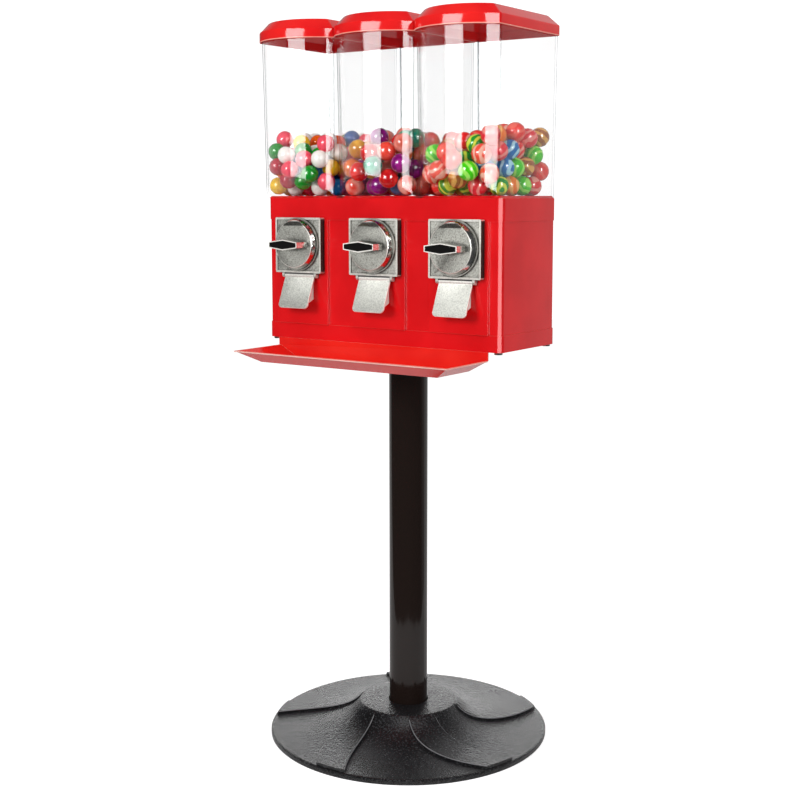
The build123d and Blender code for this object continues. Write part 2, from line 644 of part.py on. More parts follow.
def coin_wheel():
    """The disc that carries a coin round, notched for it at the top."""
    y0 = PANEL_FRONT - COIN_WHEEL_THICKNESS
    disc = rod_y(COIN_WHEEL_RADIUS, y0, PANEL_FRONT)
    notch = place(rod_y(COIN_RADIUS, y0 - 1, PANEL_FRONT + 1), z=COIN_WHEEL_RADIUS - COIN_RADIUS * 0.7)
    return place(disc - notch - rod_y(SHAFT_RADIUS, y0 - 1, PANEL_FRONT + 1), z=KNOB_Z)


def mechanism_housing():
    """The cup behind the plate that closes the coin wheel in and carries the shaft's rear end."""
    y0 = PANEL_FRONT + PART_GAP
    y1 = PANEL_FRONT + HOUSING_DEPTH
    radius = COIN_WHEEL_RADIUS + HOUSING_WALL
    inside = rod_y(COIN_WHEEL_RADIUS + PART_GAP, PANEL_FRONT - 1, y1 - HOUSING_WALL)
    cup = rod_y(radius, PANEL_FRONT, y1) - inside - rod_y(SHAFT_RADIUS + RUNNING_CLEARANCE, y0, y1 + 1)
    slot = COIN_RADIUS + 1
    coin_drop = block(-slot, slot, y0 + 1, y1 - HOUSING_WALL, -radius - 1, -COIN_WHEEL_RADIUS + 4)
    return place(cup - coin_drop, z=KNOB_Z)


def tooth(root, tip, height, width):
    """One straight tooth, standing along +Z from z 0, as wide as the gear's face along Y."""
    profile = [(-root / 2, 0, -0.6), (root / 2, 0, -0.6), (root / 2, 0, 0), (tip / 2, 0, height)]
    profile = profile + [(-tip / 2, 0, height), (-root / 2, 0, 0)]
    return place(extrude(make_face(Polyline(profile, close=True)), width / 2, dir=(0, 1, 0), both=True))


def pinion():
    """Eight straight teeth on a hub; it drives the ring of teeth under the candy wheel."""
    y0 = -WHEEL_RADIUS
    y1 = -TOOTH_RING_INNER - TOOTH_CLEARANCE
    root = PINION_PITCH_RADIUS - TOOTH_HEIGHT / 2
    hub = rod_y(root, y0, y1)
    cog = tooth(TOOTH_ROOT, TOOTH_TIP, TOOTH_HEIGHT - TOOTH_CLEARANCE, y1 - y0)
    step = 360 / PINION_TEETH
    cogs = [Rot(0, (i + 0.5) * step, 0) * Pos(0, (y0 + y1) / 2, root) * cog for i in range(PINION_TEETH)]
    return place(hub + cogs - rod_y(SHAFT_RADIUS, y0 - 1, y1 + 1), z=KNOB_Z)


def candy_wheel():
    """The wheel under the hopper: six pockets, and a ring of teeth on its underside."""
    wheel = rod_z(WHEEL_RADIUS, WHEEL_UNDER, WHEEL_TOP)
    for i in range(POCKET_COUNT):
        angle = radians(90 + i * 360 / POCKET_COUNT)
        pocket = rod_z(POCKET_RADIUS, WHEEL_UNDER - 1, WHEEL_TOP + 1)
        wheel = wheel - place(pocket, POCKET_CIRCLE * cos(angle), POCKET_CIRCLE * sin(angle))
    wheel = wheel - rod_z(AXLE_RADIUS + RUNNING_CLEARANCE, WHEEL_UNDER - 1, WHEEL_TOP + 1)
    cog = Rot(180, 0, 0) * tooth(TOOTH_ROOT, TOOTH_TIP, TOOTH_HEIGHT - TOOTH_CLEARANCE, PINION_WIDTH - 0.2)
    middle = TOOTH_RING_INNER + PINION_WIDTH / 2
    step = 360 / WHEEL_TEETH
    return wheel + [Rot(0, 0, i * step) * Pos(0, middle, WHEEL_UNDER) * cog for i in range(WHEEL_TEETH)]


def hopper():
    """The funnel above the wheel, its housing, and the floor with the exit hole and the axle post."""
    half = FUNNEL_HALF
    depth = BODY_DEPTH / 2 - BODY_WALL - NECK_INSET + PART_GAP
    funnel_top = HOPPER_TOP - CANISTER_NECK - PART_GAP
    rim = WHEEL_TOP + HOPPER_EDGE
    wall = HOPPER_WALL
    box = rounded_box(2 * (half + wall), 2 * (depth + wall), rim - wall, HOPPER_TOP, BODY_CORNER)
    box = box - block(-half, half, -depth, depth, funnel_top, HOPPER_TOP + 1)
    mouth = Pos(0, 0, funnel_top + 0.1) * RectangleRounded(2 * (half - wall), 2 * (depth - wall), 6)
    funnel = box - loft([Pos(0, 0, rim) * Circle(HOPPER_RADIUS), mouth])
    funnel = funnel - rod_z(HOPPER_RADIUS, WHEEL_UNDER - 20, rim + 0.01)
    low = FLOOR_BOTTOM - ARM_HEIGHT - TOOTH_HEIGHT
    ring = rod_z(HOPPER_OUTER_RADIUS, low, rim) - rod_z(HOPPER_RADIUS, low - 1, rim + 1)
    window_half = PINION_PITCH_RADIUS + TOOTH_HEIGHT + PART_GAP * 2
    window_front = -HOPPER_OUTER_RADIUS - 1
    window_back = PINION_WIDTH - HOPPER_RADIUS + PART_GAP
    window = block(-window_half, window_half, window_front, window_back, low - 1, WHEEL_UNDER + 1)
    floor = rod_z(FLOOR_RADIUS, FLOOR_BOTTOM, FLOOR_TOP) + rod_z(AXLE_RADIUS, FLOOR_TOP, WHEEL_TOP - 2)
    arm_start = FLOOR_RADIUS - ARM_ROOT
    for angle in (0, 180):
        arm = block(arm_start, HOPPER_RADIUS + 1, -ARM_WIDTH / 2, ARM_WIDTH / 2, low, low + ARM_HEIGHT)
        arm = arm + block(arm_start, FLOOR_RADIUS, -ARM_WIDTH / 2, ARM_WIDTH / 2, low, FLOOR_BOTTOM)
        floor = floor + Rot(0, 0, angle) * arm
    exit_hole = place(rod_z(EXIT_RADIUS, FLOOR_BOTTOM - 1, FLOOR_TOP + 1), y=POCKET_CIRCLE)
    return funnel + (ring - window) + (floor - exit_hole)


def flap():
    """The chute door: a flat cast plate with rounded lower corners and a hinge barrel along its top."""
    outline = RectangleRounded(FLAP_WIDTH, FLAP_LENGTH * 2, FLAP_CORNER)
    sheet = extrude(outline, FLAP_THICKNESS / 2, both=True)
    sheet = sheet & block(-FLAP_WIDTH, FLAP_WIDTH, -FLAP_LENGTH * 2, 0, -5, 5)
    plate = Rot(90, 0, 0) * sheet
    plate = Rot(-FLAP_TILT, 0, 0) * plate
    plate = Pos(0, HINGE_Y, HINGE_Z) * plate
    half = FLAP_WIDTH / 2
    plate = plate + rod_x(BARREL_RADIUS, -half, half, HINGE_Y, HINGE_Z)
    return plate - rod_x(PIN_RADIUS + RUNNING_CLEARANCE, -half - 1, half + 1, HINGE_Y, HINGE_Z)


def flap_pin():
    """The hinge pin, pressed into the plate's two ears."""
    half = FLAP_WIDTH / 2 + PART_GAP + EAR_WIDTH
    return rod_x(PIN_RADIUS, -half, half, HINGE_Y, HINGE_Z)


def bowed_face(width, back, corner_front, bow, corner, grow=0.0):
    """A plan outline with a straight back and sides and a bowed front, all moved out by grow."""
    half = width / 2
    sagitta = bow - corner_front
    radius = (half * half + sagitta * sagitta) / (2 * sagitta)
    half = half + grow
    back = back + grow
    corner_y = radius - bow - sqrt((radius + grow) ** 2 - half * half)
    front = ThreePointArc((half, corner_y), (0, -bow - grow), (-half, corner_y))
    sides = [
        Line((-half, corner_y), (-half, back)),
        Line((-half, back), (half, back)),
        Line((half, back), (half, corner_y)),
    ]
    face = make_face([front] + sides)
    return fillet(face.vertices(), max(corner + grow, corner / 3))


def canister_face(share, grow):
    """The canister's outline at a share of its height, moved out by grow."""
    width = CANISTER_WIDTH_LOW + (CANISTER_WIDTH_TOP - CANISTER_WIDTH_LOW) * share
    taper = CANISTER_DEPTH_TAPER * (1 - share)
    corner_front = CANISTER_CORNER_FRONT - taper
    return bowed_face(width, CANISTER_BACK, corner_front, CANISTER_BOW - taper, CANISTER_CORNER, grow)


def canister_solid(grow, low, high):
    """The tapered body of a canister between two heights."""
    sections = []
    for z in (low, high):
        share = (z - BODY_TOP) / CANISTER_HEIGHT
        sections.append(Pos(0, 0, z) * canister_face(share, grow))
    return loft(sections)


def chin_slope():
    """How steeply the chin rises towards the front."""
    return CHIN_RISE / (CANISTER_BOW + BODY_FRONT)


def chin_wedge(wall):
    """What the sloped chin takes off the front of a canister's foot, or off its inside."""
    slope = chin_slope()
    rise = wall * sqrt(1 + slope * slope)
    low = BODY_TOP - 1
    start = BODY_FRONT + (rise + 1) / slope
    reach = -CANISTER_BOW * 1.5
    return yz_prism([(start, low), (reach, low + slope * (start - reach)), (reach, low)], HEAD_PITCH)


def canister():
    """A clear moulded canister with a bowed front, a sloped chin and a neck that drops into the deck."""
    outer = canister_solid(0, BODY_TOP, CANISTER_TOP) - chin_wedge(0)
    inner = canister_solid(-CANISTER_WALL, BODY_TOP + CANISTER_WALL, CANISTER_TOP + 1)
    inner = inner - chin_wedge(CANISTER_WALL)
    throat = neck_block(-CANISTER_WALL)
    throat = throat + place(throat, z=CANISTER_WALL * 2) + place(throat, z=-CANISTER_WALL)
    return outer + neck_block(0) - inner - throat


def lid_face(grow, z):
    """The lid's outline at a height, measured from the canister's top outline."""
    face = bowed_face(
        CANISTER_WIDTH_TOP,
        CANISTER_BACK + LID_BACK_LAP,
        CANISTER_CORNER_FRONT + LID_FRONT_LAP,
        CANISTER_BOW + LID_FRONT_LAP,
        CANISTER_CORNER,
        grow,
    )
    return Pos(0, 0, z) * face


def lid():
    """A moulded lid: a rim that laps the canister and a crown with sloped sides."""
    outside = LID_CLEARANCE + LID_WALL
    crown_top = LID_RIM_TOP + LID_CROWN
    ceiling = LID_RIM_TOP - LID_WALL
    shell = extrude(lid_face(outside, LID_BOTTOM), LID_RIM)
    shell = shell + loft([lid_face(outside, LID_RIM_TOP), lid_face(outside - LID_CROWN_INSET, crown_top)])
    shell = shell - extrude(lid_face(LID_CLEARANCE, LID_BOTTOM - 1), ceiling - LID_BOTTOM + 1)
    top_inset = outside - LID_CROWN_INSET - LID_CEILING / 2
    hollow_foot = lid_face(LID_CLEARANCE - LID_CEILING / 2, ceiling)
    shell = shell - loft([hollow_foot, lid_face(top_inset, crown_top - LID_CEILING)])
    seat = CANISTER_TOP + PART_GAP
    ledge = extrude(lid_face(LID_CLEARANCE + LID_WALL / 2, seat), LID_CEILING)
    return shell + (ledge - extrude(lid_face(-CANISTER_WALL * 3, seat - 1), LID_CEILING + 2))


def candy_pile(radius, count, seed):
    """Ball centres for one canister: seeded at random, then settled under their own weight."""
    rng = np.random.default_rng(seed)
    keep_off = radius + CANISTER_WALL + BALL_GAP
    half_x = CANISTER_WIDTH_LOW / 2 - keep_off
    back = CANISTER_BACK - keep_off
    floor = BODY_TOP + keep_off
    bow_radius = ((CANISTER_WIDTH_LOW / 2) ** 2 + CANISTER_BOW_DEPTH**2) / (2 * CANISTER_BOW_DEPTH)
    bow_centre = bow_radius - CANISTER_BOW + CANISTER_DEPTH_TAPER
    slope = chin_slope()
    chin_normal = np.array([0.0, slope, 1.0]) / sqrt(1 + slope * slope)
    chin_offset = chin_normal @ np.array([0.0, BODY_FRONT, BODY_TOP]) + keep_off
    spread = np.array([half_x, back, FILL_HEIGHT])
    centres = rng.uniform(-1, 1, (count, 3)) * spread
    centres[:, 2] = floor + np.abs(centres[:, 2])
    reach = 2 * radius + BALL_GAP
    for step in range(FALL_STEPS):
        centres[:, 2] -= FALL_STEP * max(0.0, 1 - step / (FALL_STEPS * 0.8)) ** 2
        for _ in range(3):
            delta = centres[:, None, :] - centres[None, :, :]
            distance = np.sqrt((delta**2).sum(axis=2)) + np.eye(count) * 1e6
            push = np.clip(reach - distance, 0, None) / distance
            centres += 0.5 * (delta * push[:, :, None]).sum(axis=1)
            box = (half_x, back, floor)
            hold_in_canister(centres, box, bow_radius - keep_off, bow_centre, chin_normal, chin_offset)
    return centres


def hold_in_canister(centres, box, bow_reach, bow_centre, chin_normal, chin_offset):
    """Puts ball centres back inside the canister's walls, chin and floor."""
    half_x, back, floor = box
    centres[:, 0] = np.clip(centres[:, 0], -half_x, half_x)
    centres[:, 1] = np.minimum(centres[:, 1], back)
    centres[:, 2] = np.maximum(centres[:, 2], floor)
    radial = np.hypot(centres[:, 0], centres[:, 1] - bow_centre)
    outside = (radial > bow_reach) & (centres[:, 1] < bow_centre)
    shrink = np.where(outside, bow_reach / radial, 1.0)
    centres[:, 0] *= shrink
    centres[:, 1] = bow_centre + (centres[:, 1] - bow_centre) * shrink
    below = np.clip(chin_offset - centres @ chin_normal, 0, None)
    centres += below[:, None] * chin_normal


def candies(x, head):
    """The candies in one canister, each a ball of its own."""
    ball_radii = (GUMBALL_RADIUS, CAPSULE_RADIUS, BOUNCY_BALL_RADIUS)
    radius = ball_radii[head]
    centres = candy_pile(radius, BALL_COUNTS[head], FILL_SEED + head)
    delta = centres[:, None, :] - centres[None, :, :]
    distance = np.sqrt((delta**2).sum(axis=2)) + np.eye(len(centres)) * 1e6
    clear = distance.min() - 2 * radius
    print(f"candies {head + 1}: least gap {clear:.3f} mm, top at {centres[:, 2].max() + radius:.1f} mm")
    ball_radius = radius + min(0.0, clear / 2 - BALL_GAP / 4)
    return Compound([Pos(x + cx, cy, cz) * Sphere(ball_radius) for cx, cy, cz in centres])


def cash_door():
    """The rear door, its hinge knuckles and pin, its cam lock, and the coin box behind it."""
    parts = {}
    door_low = SHELL_BOTTOM + DOOR_RISE
    door_high = door_low + DOOR_HEIGHT
    half = DOOR_WIDTH / 2
    hinge_y = BODY_BACK + BARREL_RADIUS
    hinge_z = door_low + BARREL_RADIUS
    lock_z = door_high - LOCK_RADIUS - 10
    panel = block(-half, half, BODY_BACK - BODY_WALL, BODY_BACK, door_low, door_high)
    barrel_half = half * 0.6
    knuckle = rod_x(BARREL_RADIUS, -barrel_half, barrel_half, hinge_y, hinge_z)
    web_top = hinge_z + BARREL_RADIUS
    knuckle = knuckle + block(-barrel_half, barrel_half, BODY_BACK - 1, hinge_y, hinge_z, web_top)
    panel = panel + knuckle - rod_x(PIN_RADIUS + RUNNING_CLEARANCE, -half, half, hinge_y, hinge_z)
    panel = panel - rod_y(LOCK_RADIUS + RUNNING_CLEARANCE, BODY_BACK - BODY_WALL - 1, BODY_BACK + 1, lock_z)
    parts["cash_door"] = panel
    ears = []
    for side in (-1, 1):
        x0, x1 = sorted((side * (barrel_half + PART_GAP), side * (barrel_half + DOOR_EAR)))
        ear = rod_x(BARREL_RADIUS - PART_GAP * 2, x0, x1, hinge_y, hinge_z)
        ear = ear + block(x0, x1, BODY_BACK + PART_GAP, hinge_y, door_low - 12, hinge_z)
        foot = block(x0, x1, BODY_BACK, BODY_BACK + 2, SHELL_BOTTOM + 1, door_low - 10 + DOOR_CLEARANCE)
        ears.append(ear + foot - rod_x(PIN_RADIUS, -half, half, hinge_y, hinge_z))
    pin = rod_x(PIN_RADIUS, -barrel_half - DOOR_EAR, barrel_half + DOOR_EAR, hinge_y, hinge_z)
    parts["door_hinge"] = Compound(ears + [pin])

    cam_y = BODY_BACK - BODY_WALL - LOCK_DEPTH
    cylinder = rod_y(LOCK_RADIUS, cam_y, BODY_BACK + PART_GAP, lock_z)
    cylinder = cylinder + rod_y(LOCK_RADIUS + 2, BODY_BACK + PART_GAP, BODY_BACK + 4, lock_z)
    cylinder = cylinder - block(-0.9, 0.9, BODY_BACK + 1, BODY_BACK + 5, lock_z - 4, lock_z + 4)
    cam_half = CAM_WIDTH / 2
    cam = block(-LOCK_RADIUS, CAM_LENGTH, cam_y - CAM_THICKNESS, cam_y, lock_z - cam_half, lock_z + cam_half)
    parts["cam_lock"] = cylinder + cam

    box_z = BODY_BOTTOM + PAN_FLOOR
    back = BODY_BACK - BODY_WALL - COIN_BOX_BACK_GAP
    front = back - COIN_BOX_DEPTH
    half_box = COIN_BOX_WIDTH / 2
    wall = COIN_BOX_WALL
    shift = ROD_STICKOUT + NUT_HEIGHT + WASHER_THICKNESS + 2
    low = box_z + shift
    high = low + COIN_BOX_HEIGHT
    box = block(-half_box, half_box, front, back, low, high)
    box = box - block(-half_box + wall, half_box - wall, front + wall, back - wall, low + wall, high + 1)
    for side in (-1, 1):
        x0, x1 = sorted((side * half_box, side * (half_box - wall)))
        box = box + block(x0, x1, front, back, box_z, box_z + shift)
    parts["coin_box"] = box
    return parts


def fasteners():
    """The screws that hold the pan to the shell and the tray to the pan."""
    screws = []
    spots = [(p, BODY_BOTTOM, BOSS_BORE * 0.8) for p in pan_screw_points()]
    spots = spots + [(p, BODY_BOTTOM - TRAY_SHEET, PAN_FLOOR * 3) for p in tray_screw_points()]
    for (x, y), seat, length in spots:
        shank = rod_z(SCREW_RADIUS, seat, BODY_BOTTOM + length)
        head = rod_z(SCREW_HEAD_RADIUS, seat - SCREW_HEAD_HEIGHT, seat)
        screws.append(place(shank + head, x, y))
    return {"body_screws": Compound(screws)}


def heads():
    """Everything that repeats for each of the three heads, from left to right."""
    makers = {
        "front_plate": front_plate,
        "knob": knob,
        "knob_insert": knob_insert,
        "shaft": shaft,
        "coin_wheel": coin_wheel,
        "mechanism_housing": mechanism_housing,
        "pinion": pinion,
        "candy_wheel": candy_wheel,
        "hopper": hopper,
        "chute": chute,
        "flap": flap,
        "flap_pin": flap_pin,
        "canister": canister,
        "lid": lid,
    }
    parts = {}
    for name, make in makers.items():
        piece = make()
        row = CANISTER_X if name in ("canister", "lid") else HEAD_X
        for head, x in enumerate(row):
            parts[f"{name}_{head + 1}"] = place(piece, x)
    for head, x in enumerate(CANISTER_X):
        parts[f"candies_{head + 1}"] = candies(x, head)
    return parts


def main():
    """Builds every sub-part and writes one STEP file for each."""
    os.makedirs("parts", exist_ok=True)
    parts = {}
    parts.update(stand())
    parts.update(body())
    parts["candy_tray"] = candy_tray()
    parts.update(cash_door())
    parts.update(fasteners())
    parts.update(heads())
    for name, shape in parts.items():
        export_step(shape, f"parts/{name}.step")
    print(f"wrote {len(parts)} sub-parts")


main()
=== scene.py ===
"""Looks of the triple candy dispenser.

Finishes, skins with rounded edges over the built parts, canisters, lids, base, candies, light and camera.
"""

from math import atan2, cos, pi, radians, sin, sqrt

import bmesh
import bpy
import numpy as np
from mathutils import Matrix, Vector


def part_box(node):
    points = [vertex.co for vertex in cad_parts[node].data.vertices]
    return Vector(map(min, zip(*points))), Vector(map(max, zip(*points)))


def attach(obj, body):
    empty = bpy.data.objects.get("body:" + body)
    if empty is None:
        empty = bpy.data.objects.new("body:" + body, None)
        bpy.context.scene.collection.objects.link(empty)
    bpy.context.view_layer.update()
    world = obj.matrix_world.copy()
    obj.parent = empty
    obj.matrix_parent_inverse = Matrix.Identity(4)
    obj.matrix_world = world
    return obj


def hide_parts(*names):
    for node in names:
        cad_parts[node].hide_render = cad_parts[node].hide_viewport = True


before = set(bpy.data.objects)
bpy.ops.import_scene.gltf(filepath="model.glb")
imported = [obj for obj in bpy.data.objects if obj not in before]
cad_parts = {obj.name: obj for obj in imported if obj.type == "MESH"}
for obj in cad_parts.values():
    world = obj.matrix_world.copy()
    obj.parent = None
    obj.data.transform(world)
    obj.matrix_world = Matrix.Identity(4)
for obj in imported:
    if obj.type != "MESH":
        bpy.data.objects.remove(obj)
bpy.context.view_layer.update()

MM = 0.001
HEADS = (1, 2, 3)
STAND = "stand_and_body"
WHITE = (1, 1, 1, 1)


def corners(node):
    """The lowest and highest corners of a node's box, in metres."""
    low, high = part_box(node)
    return Vector(low), Vector(high)


def hex_colour(text):
    """An sRGB hex value as an opaque linear colour."""
    linear = []
    for i in (0, 2, 4):
        c = int(text[i : i + 2], 16) / 255
        linear.append(c / 12.92 if c <= 0.04045 else ((c + 0.055) / 1.055) ** 2.4)
    return (*linear, 1.0)


def add(tree, kind, links=None, **settings):
    """Adds a node with its settings; links maps an input to a value or to another node's output."""
    node = tree.nodes.new(kind)
    for key, value in settings.items():
        setattr(node, key, value)
    for key, value in (links or {}).items():
        if isinstance(value, bpy.types.NodeSocket):
            tree.links.new(value, node.inputs[key])
        else:
            node.inputs[key].default_value = value
    return node


def new_material(name):
    """An empty node material with its output node."""
    material = bpy.data.materials.new(name)
    material.use_nodes = True
    tree = material.node_tree
    tree.nodes.clear()
    output = tree.nodes.new("ShaderNodeOutputMaterial")
    return material, tree, output


def object_noise(tree, millimetres, detail=2.0, roughness=0.5):
    """Noise on object coordinates whose blobs are about this many millimetres across."""
    place = add(tree, "ShaderNodeTexCoord").outputs["Object"]
    scale = 1 / (millimetres * MM)
    settings = {"Vector": place, "Scale": scale, "Detail": detail, "Roughness": roughness}
    return add(tree, "ShaderNodeTexNoise", settings).outputs[0]


def ramp(tree, value, stops):
    """A value turned to colour through two (position, colour) stops."""
    node = add(tree, "ShaderNodeValToRGB", {0: value})
    for element, (position, colour) in zip(node.color_ramp.elements, stops):
        element.position = position
        element.color = colour
    return node.outputs[0]


def spread(tree, value, low, high):
    """A value from 0 to 1, turned to one from low to high."""
    return add(tree, "ShaderNodeMapRange", {0: value, 3: low, 4: high}).outputs[0]


def bump(tree, height, strength, millimetres, under=None):
    """A bump of this height in millimetres, over another bump if one is given."""
    links = {"Height": height, "Strength": strength, "Distance": millimetres * MM}
    if under:
        links["Normal"] = under
    return add(tree, "ShaderNodeBump", links).outputs[0]


# Sizes of patterns and heights of bumps in materials are in millimetres.
CLOUD_SIZE = 60
RIPPLE_SIZE, RIPPLE_HEIGHT = 5, 0.05


def smooth_red(name, colour, deep, roughness):
    """Red moulded ABS or stove enamel: an almost even colour under a soft gloss with a faint ripple."""
    material, tree, output = new_material(name)
    cloud = object_noise(tree, CLOUD_SIZE)
    tone = ramp(tree, cloud, [(0.3, hex_colour(deep)), (0.7, hex_colour(colour))])
    ripple = object_noise(tree, RIPPLE_SIZE, detail=1.0)
    shader = add(
        tree,
        "ShaderNodeBsdfPrincipled",
        {
            "Base Color": tone,
            "Roughness": spread(tree, cloud, roughness * 0.9, roughness * 1.15),
            "Normal": bump(tree, ripple, 0.25, RIPPLE_HEIGHT),
        },
    )
    tree.links.new(shader.outputs[0], output.inputs[0])
    return material


# Painted shade: the casting is darkened where a face sees less than this share of open air within the reach.
PAINTED_SHADE_REACH = 7 * MM
PAINTED_CREASE_SHADE = [(0.38, (0.05, 0.05, 0.048, 1)), (0.85, WHITE)]


def plated_casting(name, light, dark, roughness, grain, depth=0.0, metallic=1.0):
    """Die-cast zinc with bright plating: a pebbled skin that breaks the shine into glints, with painted shade
    in creases.

    The grain and its depth are in millimetres. The real pebble is finer and wouldn't show in the render.
    """
    material, tree, output = new_material(name)
    pebble = object_noise(tree, grain, detail=3.0, roughness=0.6)
    bare = ramp(tree, pebble, [(0.36, hex_colour(dark)), (0.6, hex_colour(light))])
    # Painted shade: ambient occlusion darkens the plating's colour in creases and where parts meet.
    open_air = add(tree, "ShaderNodeAmbientOcclusion", {"Distance": PAINTED_SHADE_REACH})
    shade = ramp(tree, open_air.outputs["AO"], PAINTED_CREASE_SHADE)
    tone = add(tree, "ShaderNodeMixRGB", {0: 1.0, 1: bare, 2: shade}, blend_type="MULTIPLY")
    links = {
        "Base Color": tone.outputs[0],
        "Metallic": metallic,
        "Roughness": spread(tree, pebble, roughness * 0.7, roughness * 1.4),
    }
    if depth:
        links["Normal"] = bump(tree, pebble, 0.7, depth)
    shader = add(tree, "ShaderNodeBsdfPrincipled", links)
    tree.links.new(shader.outputs[0], output.inputs[0])
    return material


def plain_material(name, colour, roughness, metallic=0.0, grain=3.0, depth=0.02, ior=1.5):
    """A plain finish whose fine grain, in millimetres, keeps its shine from looking flat."""
    material, tree, output = new_material(name)
    noise = object_noise(tree, grain)
    shader = add(
        tree,
        "ShaderNodeBsdfPrincipled",
        {
            "Base Color": hex_colour(colour),
            "Metallic": metallic,
            "Roughness": spread(tree, noise, roughness * 0.85, roughness * 1.2),
            "Normal": bump(tree, noise, 0.3, depth),
            "IOR": ior,
        },
    )
    tree.links.new(shader.outputs[0], output.inputs[0])
    return material


# Below the real 1.58, because each wall shines with both of its faces; this matches the object's shine.
POLYCARBONATE_IOR = 1.36
# How suddenly the grey comes in as a wall turns away from the eye.
EDGE_FALL = 9.0


def clear_plastic(name, clear, edge_on):
    """Clear moulded polycarbonate: seen straight through, with a shine and a grey that grow edge-on."""
    material, tree, output = new_material(name)
    side = add(tree, "ShaderNodeNewGeometry")
    ior = spread(tree, side.outputs["Backfacing"], POLYCARBONATE_IOR, 1 / POLYCARBONATE_IOR)
    fresnel = add(tree, "ShaderNodeFresnel", {"IOR": ior})
    shine = add(tree, "ShaderNodeBsdfPrincipled", {"Base Color": WHITE, "Metallic": 1.0, "Roughness": 0.04})
    facing = add(tree, "ShaderNodeLayerWeight", {"Blend": 0.5}).outputs["Facing"]
    edge = add(tree, "ShaderNodeMath", {0: facing, 1: EDGE_FALL}, operation="POWER")
    depth = ramp(tree, edge.outputs[0], [(0.0, hex_colour(clear)), (0.9, hex_colour(edge_on))])
    through = add(tree, "ShaderNodeBsdfTransparent", {"Color": depth})
    mixed = add(
        tree,
        "ShaderNodeMixShader",
        {0: fresnel.outputs[0], 1: through.outputs[0], 2: shine.outputs[0]},
    )
    tree.links.new(mixed.outputs[0], output.inputs[0])
    return material


SAND_GRAIN, SAND_DEPTH = 2.6, 0.8
LUMP_SIZE, LUMP_DEPTH = 5, 1.2


def cast_base_paint(name):
    """Black paint over sand-cast iron: a wet gloss that the casting's lumps and grit break into specks, with
    paler specks painted in as glints.
    """
    material, tree, output = new_material(name)
    lumps = object_noise(tree, LUMP_SIZE, detail=4.0, roughness=0.7)
    sand = object_noise(tree, SAND_GRAIN, detail=3.0)
    cloud = object_noise(tree, 45)
    paint = ramp(tree, cloud, [(0.35, hex_colour("101011")), (0.75, hex_colour("1A1A1C"))])
    # Painted highlight: paler grey specks on the grit stand in for glints.
    speck = add(tree, "ShaderNodeMapRange", {0: sand, 1: 0.5, 2: 0.75})
    tone = mixed_colour(tree, speck.outputs[0], paint, hex_colour("3A3A3C"))
    lumpy = bump(tree, lumps, 0.8, LUMP_DEPTH)
    shader = add(
        tree,
        "ShaderNodeBsdfPrincipled",
        {
            "Base Color": tone,
            "Roughness": spread(tree, lumps, 0.1, 0.28),
            "Normal": bump(tree, sand, 0.8, SAND_DEPTH, under=lumpy),
        },
    )
    tree.links.new(shader.outputs[0], output.inputs[0])
    return material


def new_piece(name, mesh, materials):
    """Links a mesh as a piece at the origin."""
    piece = bpy.data.objects.new(name, mesh)
    bpy.context.scene.collection.objects.link(piece)
    for material in materials:
        mesh.materials.append(material)
    return piece


def finish_mesh(piece):
    """Turns the piece's modifiers into plain mesh."""
    graph = bpy.context.evaluated_depsgraph_get()
    graph.update()
    solid = piece.evaluated_get(graph)
    done = bpy.data.meshes.new_from_object(solid, preserve_all_data_layers=True, depsgraph=graph)
    piece.modifiers.clear()
    piece.data = done


def soften(piece, angle):
    """Smooth shading, with creases sharper than the angle kept."""
    piece.data.polygons.foreach_set("use_smooth", [True] * len(piece.data.polygons))
    piece.data.set_sharp_from_angle(angle=radians(angle))


# Angles between faces, in degrees: edges sharper than the first are rounded or kept as creases.
ROUNDED_ANGLE = 35
CREASED_ANGLE = 30
FLAT_ANGLE = 0.6


def round_edges(piece, width_mm):
    """Rounds every edge that is sharper than the angle."""
    bevel = piece.modifiers.new("edge", "BEVEL")
    bevel.width = width_mm * MM
    bevel.segments = 2
    bevel.limit_method = "ANGLE"
    bevel.angle_limit = radians(ROUNDED_ANGLE)
    bevel.harden_normals = True
    bevel.miter_outer = "MITER_ARC"
    finish_mesh(piece)


# A face is small under this many squares of the narrow width.
SMALL_FACE = 11
# A wall's normal points less than this to the front or back, and an upright face's less than this up or down.
WALL_TURN = 0.5
UPRIGHT_TILT = 0.3
WELD_REACH = 0.02 * MM


def is_narrow(mesh, face, width):
    """Whether a face is small, or a strip narrower than this width."""
    ring = [mesh.vertices[v].co for v in face.vertices]
    outline = sum((a - b).length for a, b in zip(ring, ring[1:] + ring[:1]))
    return face.area < SMALL_FACE * width**2 or 2 * face.area / outline < width


def skin(node, body, materials, width_mm, narrow_mm=1.5, level=False, walls_first=False):
    """A copy of a node's solid with its edges rounded, in place of the node.

    The materials are for broad faces, then for narrow faces and rounded edges, and then for walls square to
    the front. With level, upright narrow faces keep the first one. With walls_first, a narrow wall is a wall.
    """
    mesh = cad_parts[node].data.copy()
    mesh.materials.clear()
    form = bmesh.new()
    form.from_mesh(mesh)
    bmesh.ops.remove_doubles(form, verts=form.verts, dist=WELD_REACH)
    bmesh.ops.dissolve_limit(form, angle_limit=radians(FLAT_ANGLE), verts=form.verts, edges=form.edges)
    form.to_mesh(mesh)
    form.free()
    piece = new_piece(node + ".skin", mesh, materials)
    soften(piece, CREASED_ANGLE)
    round_edges(piece, width_mm)
    if len(materials) > 1:
        for face in piece.data.polygons:
            wall = len(materials) > 2 and abs(face.normal.y) < WALL_TURN
            if wall and walls_first:
                face.material_index = 2
            elif is_narrow(piece.data, face, narrow_mm * MM):
                face.material_index = 0 if level and abs(face.normal.z) < UPRIGHT_TILT else 1
            elif wall:
                face.material_index = 2
    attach(piece, body)
    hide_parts(node)
    return piece


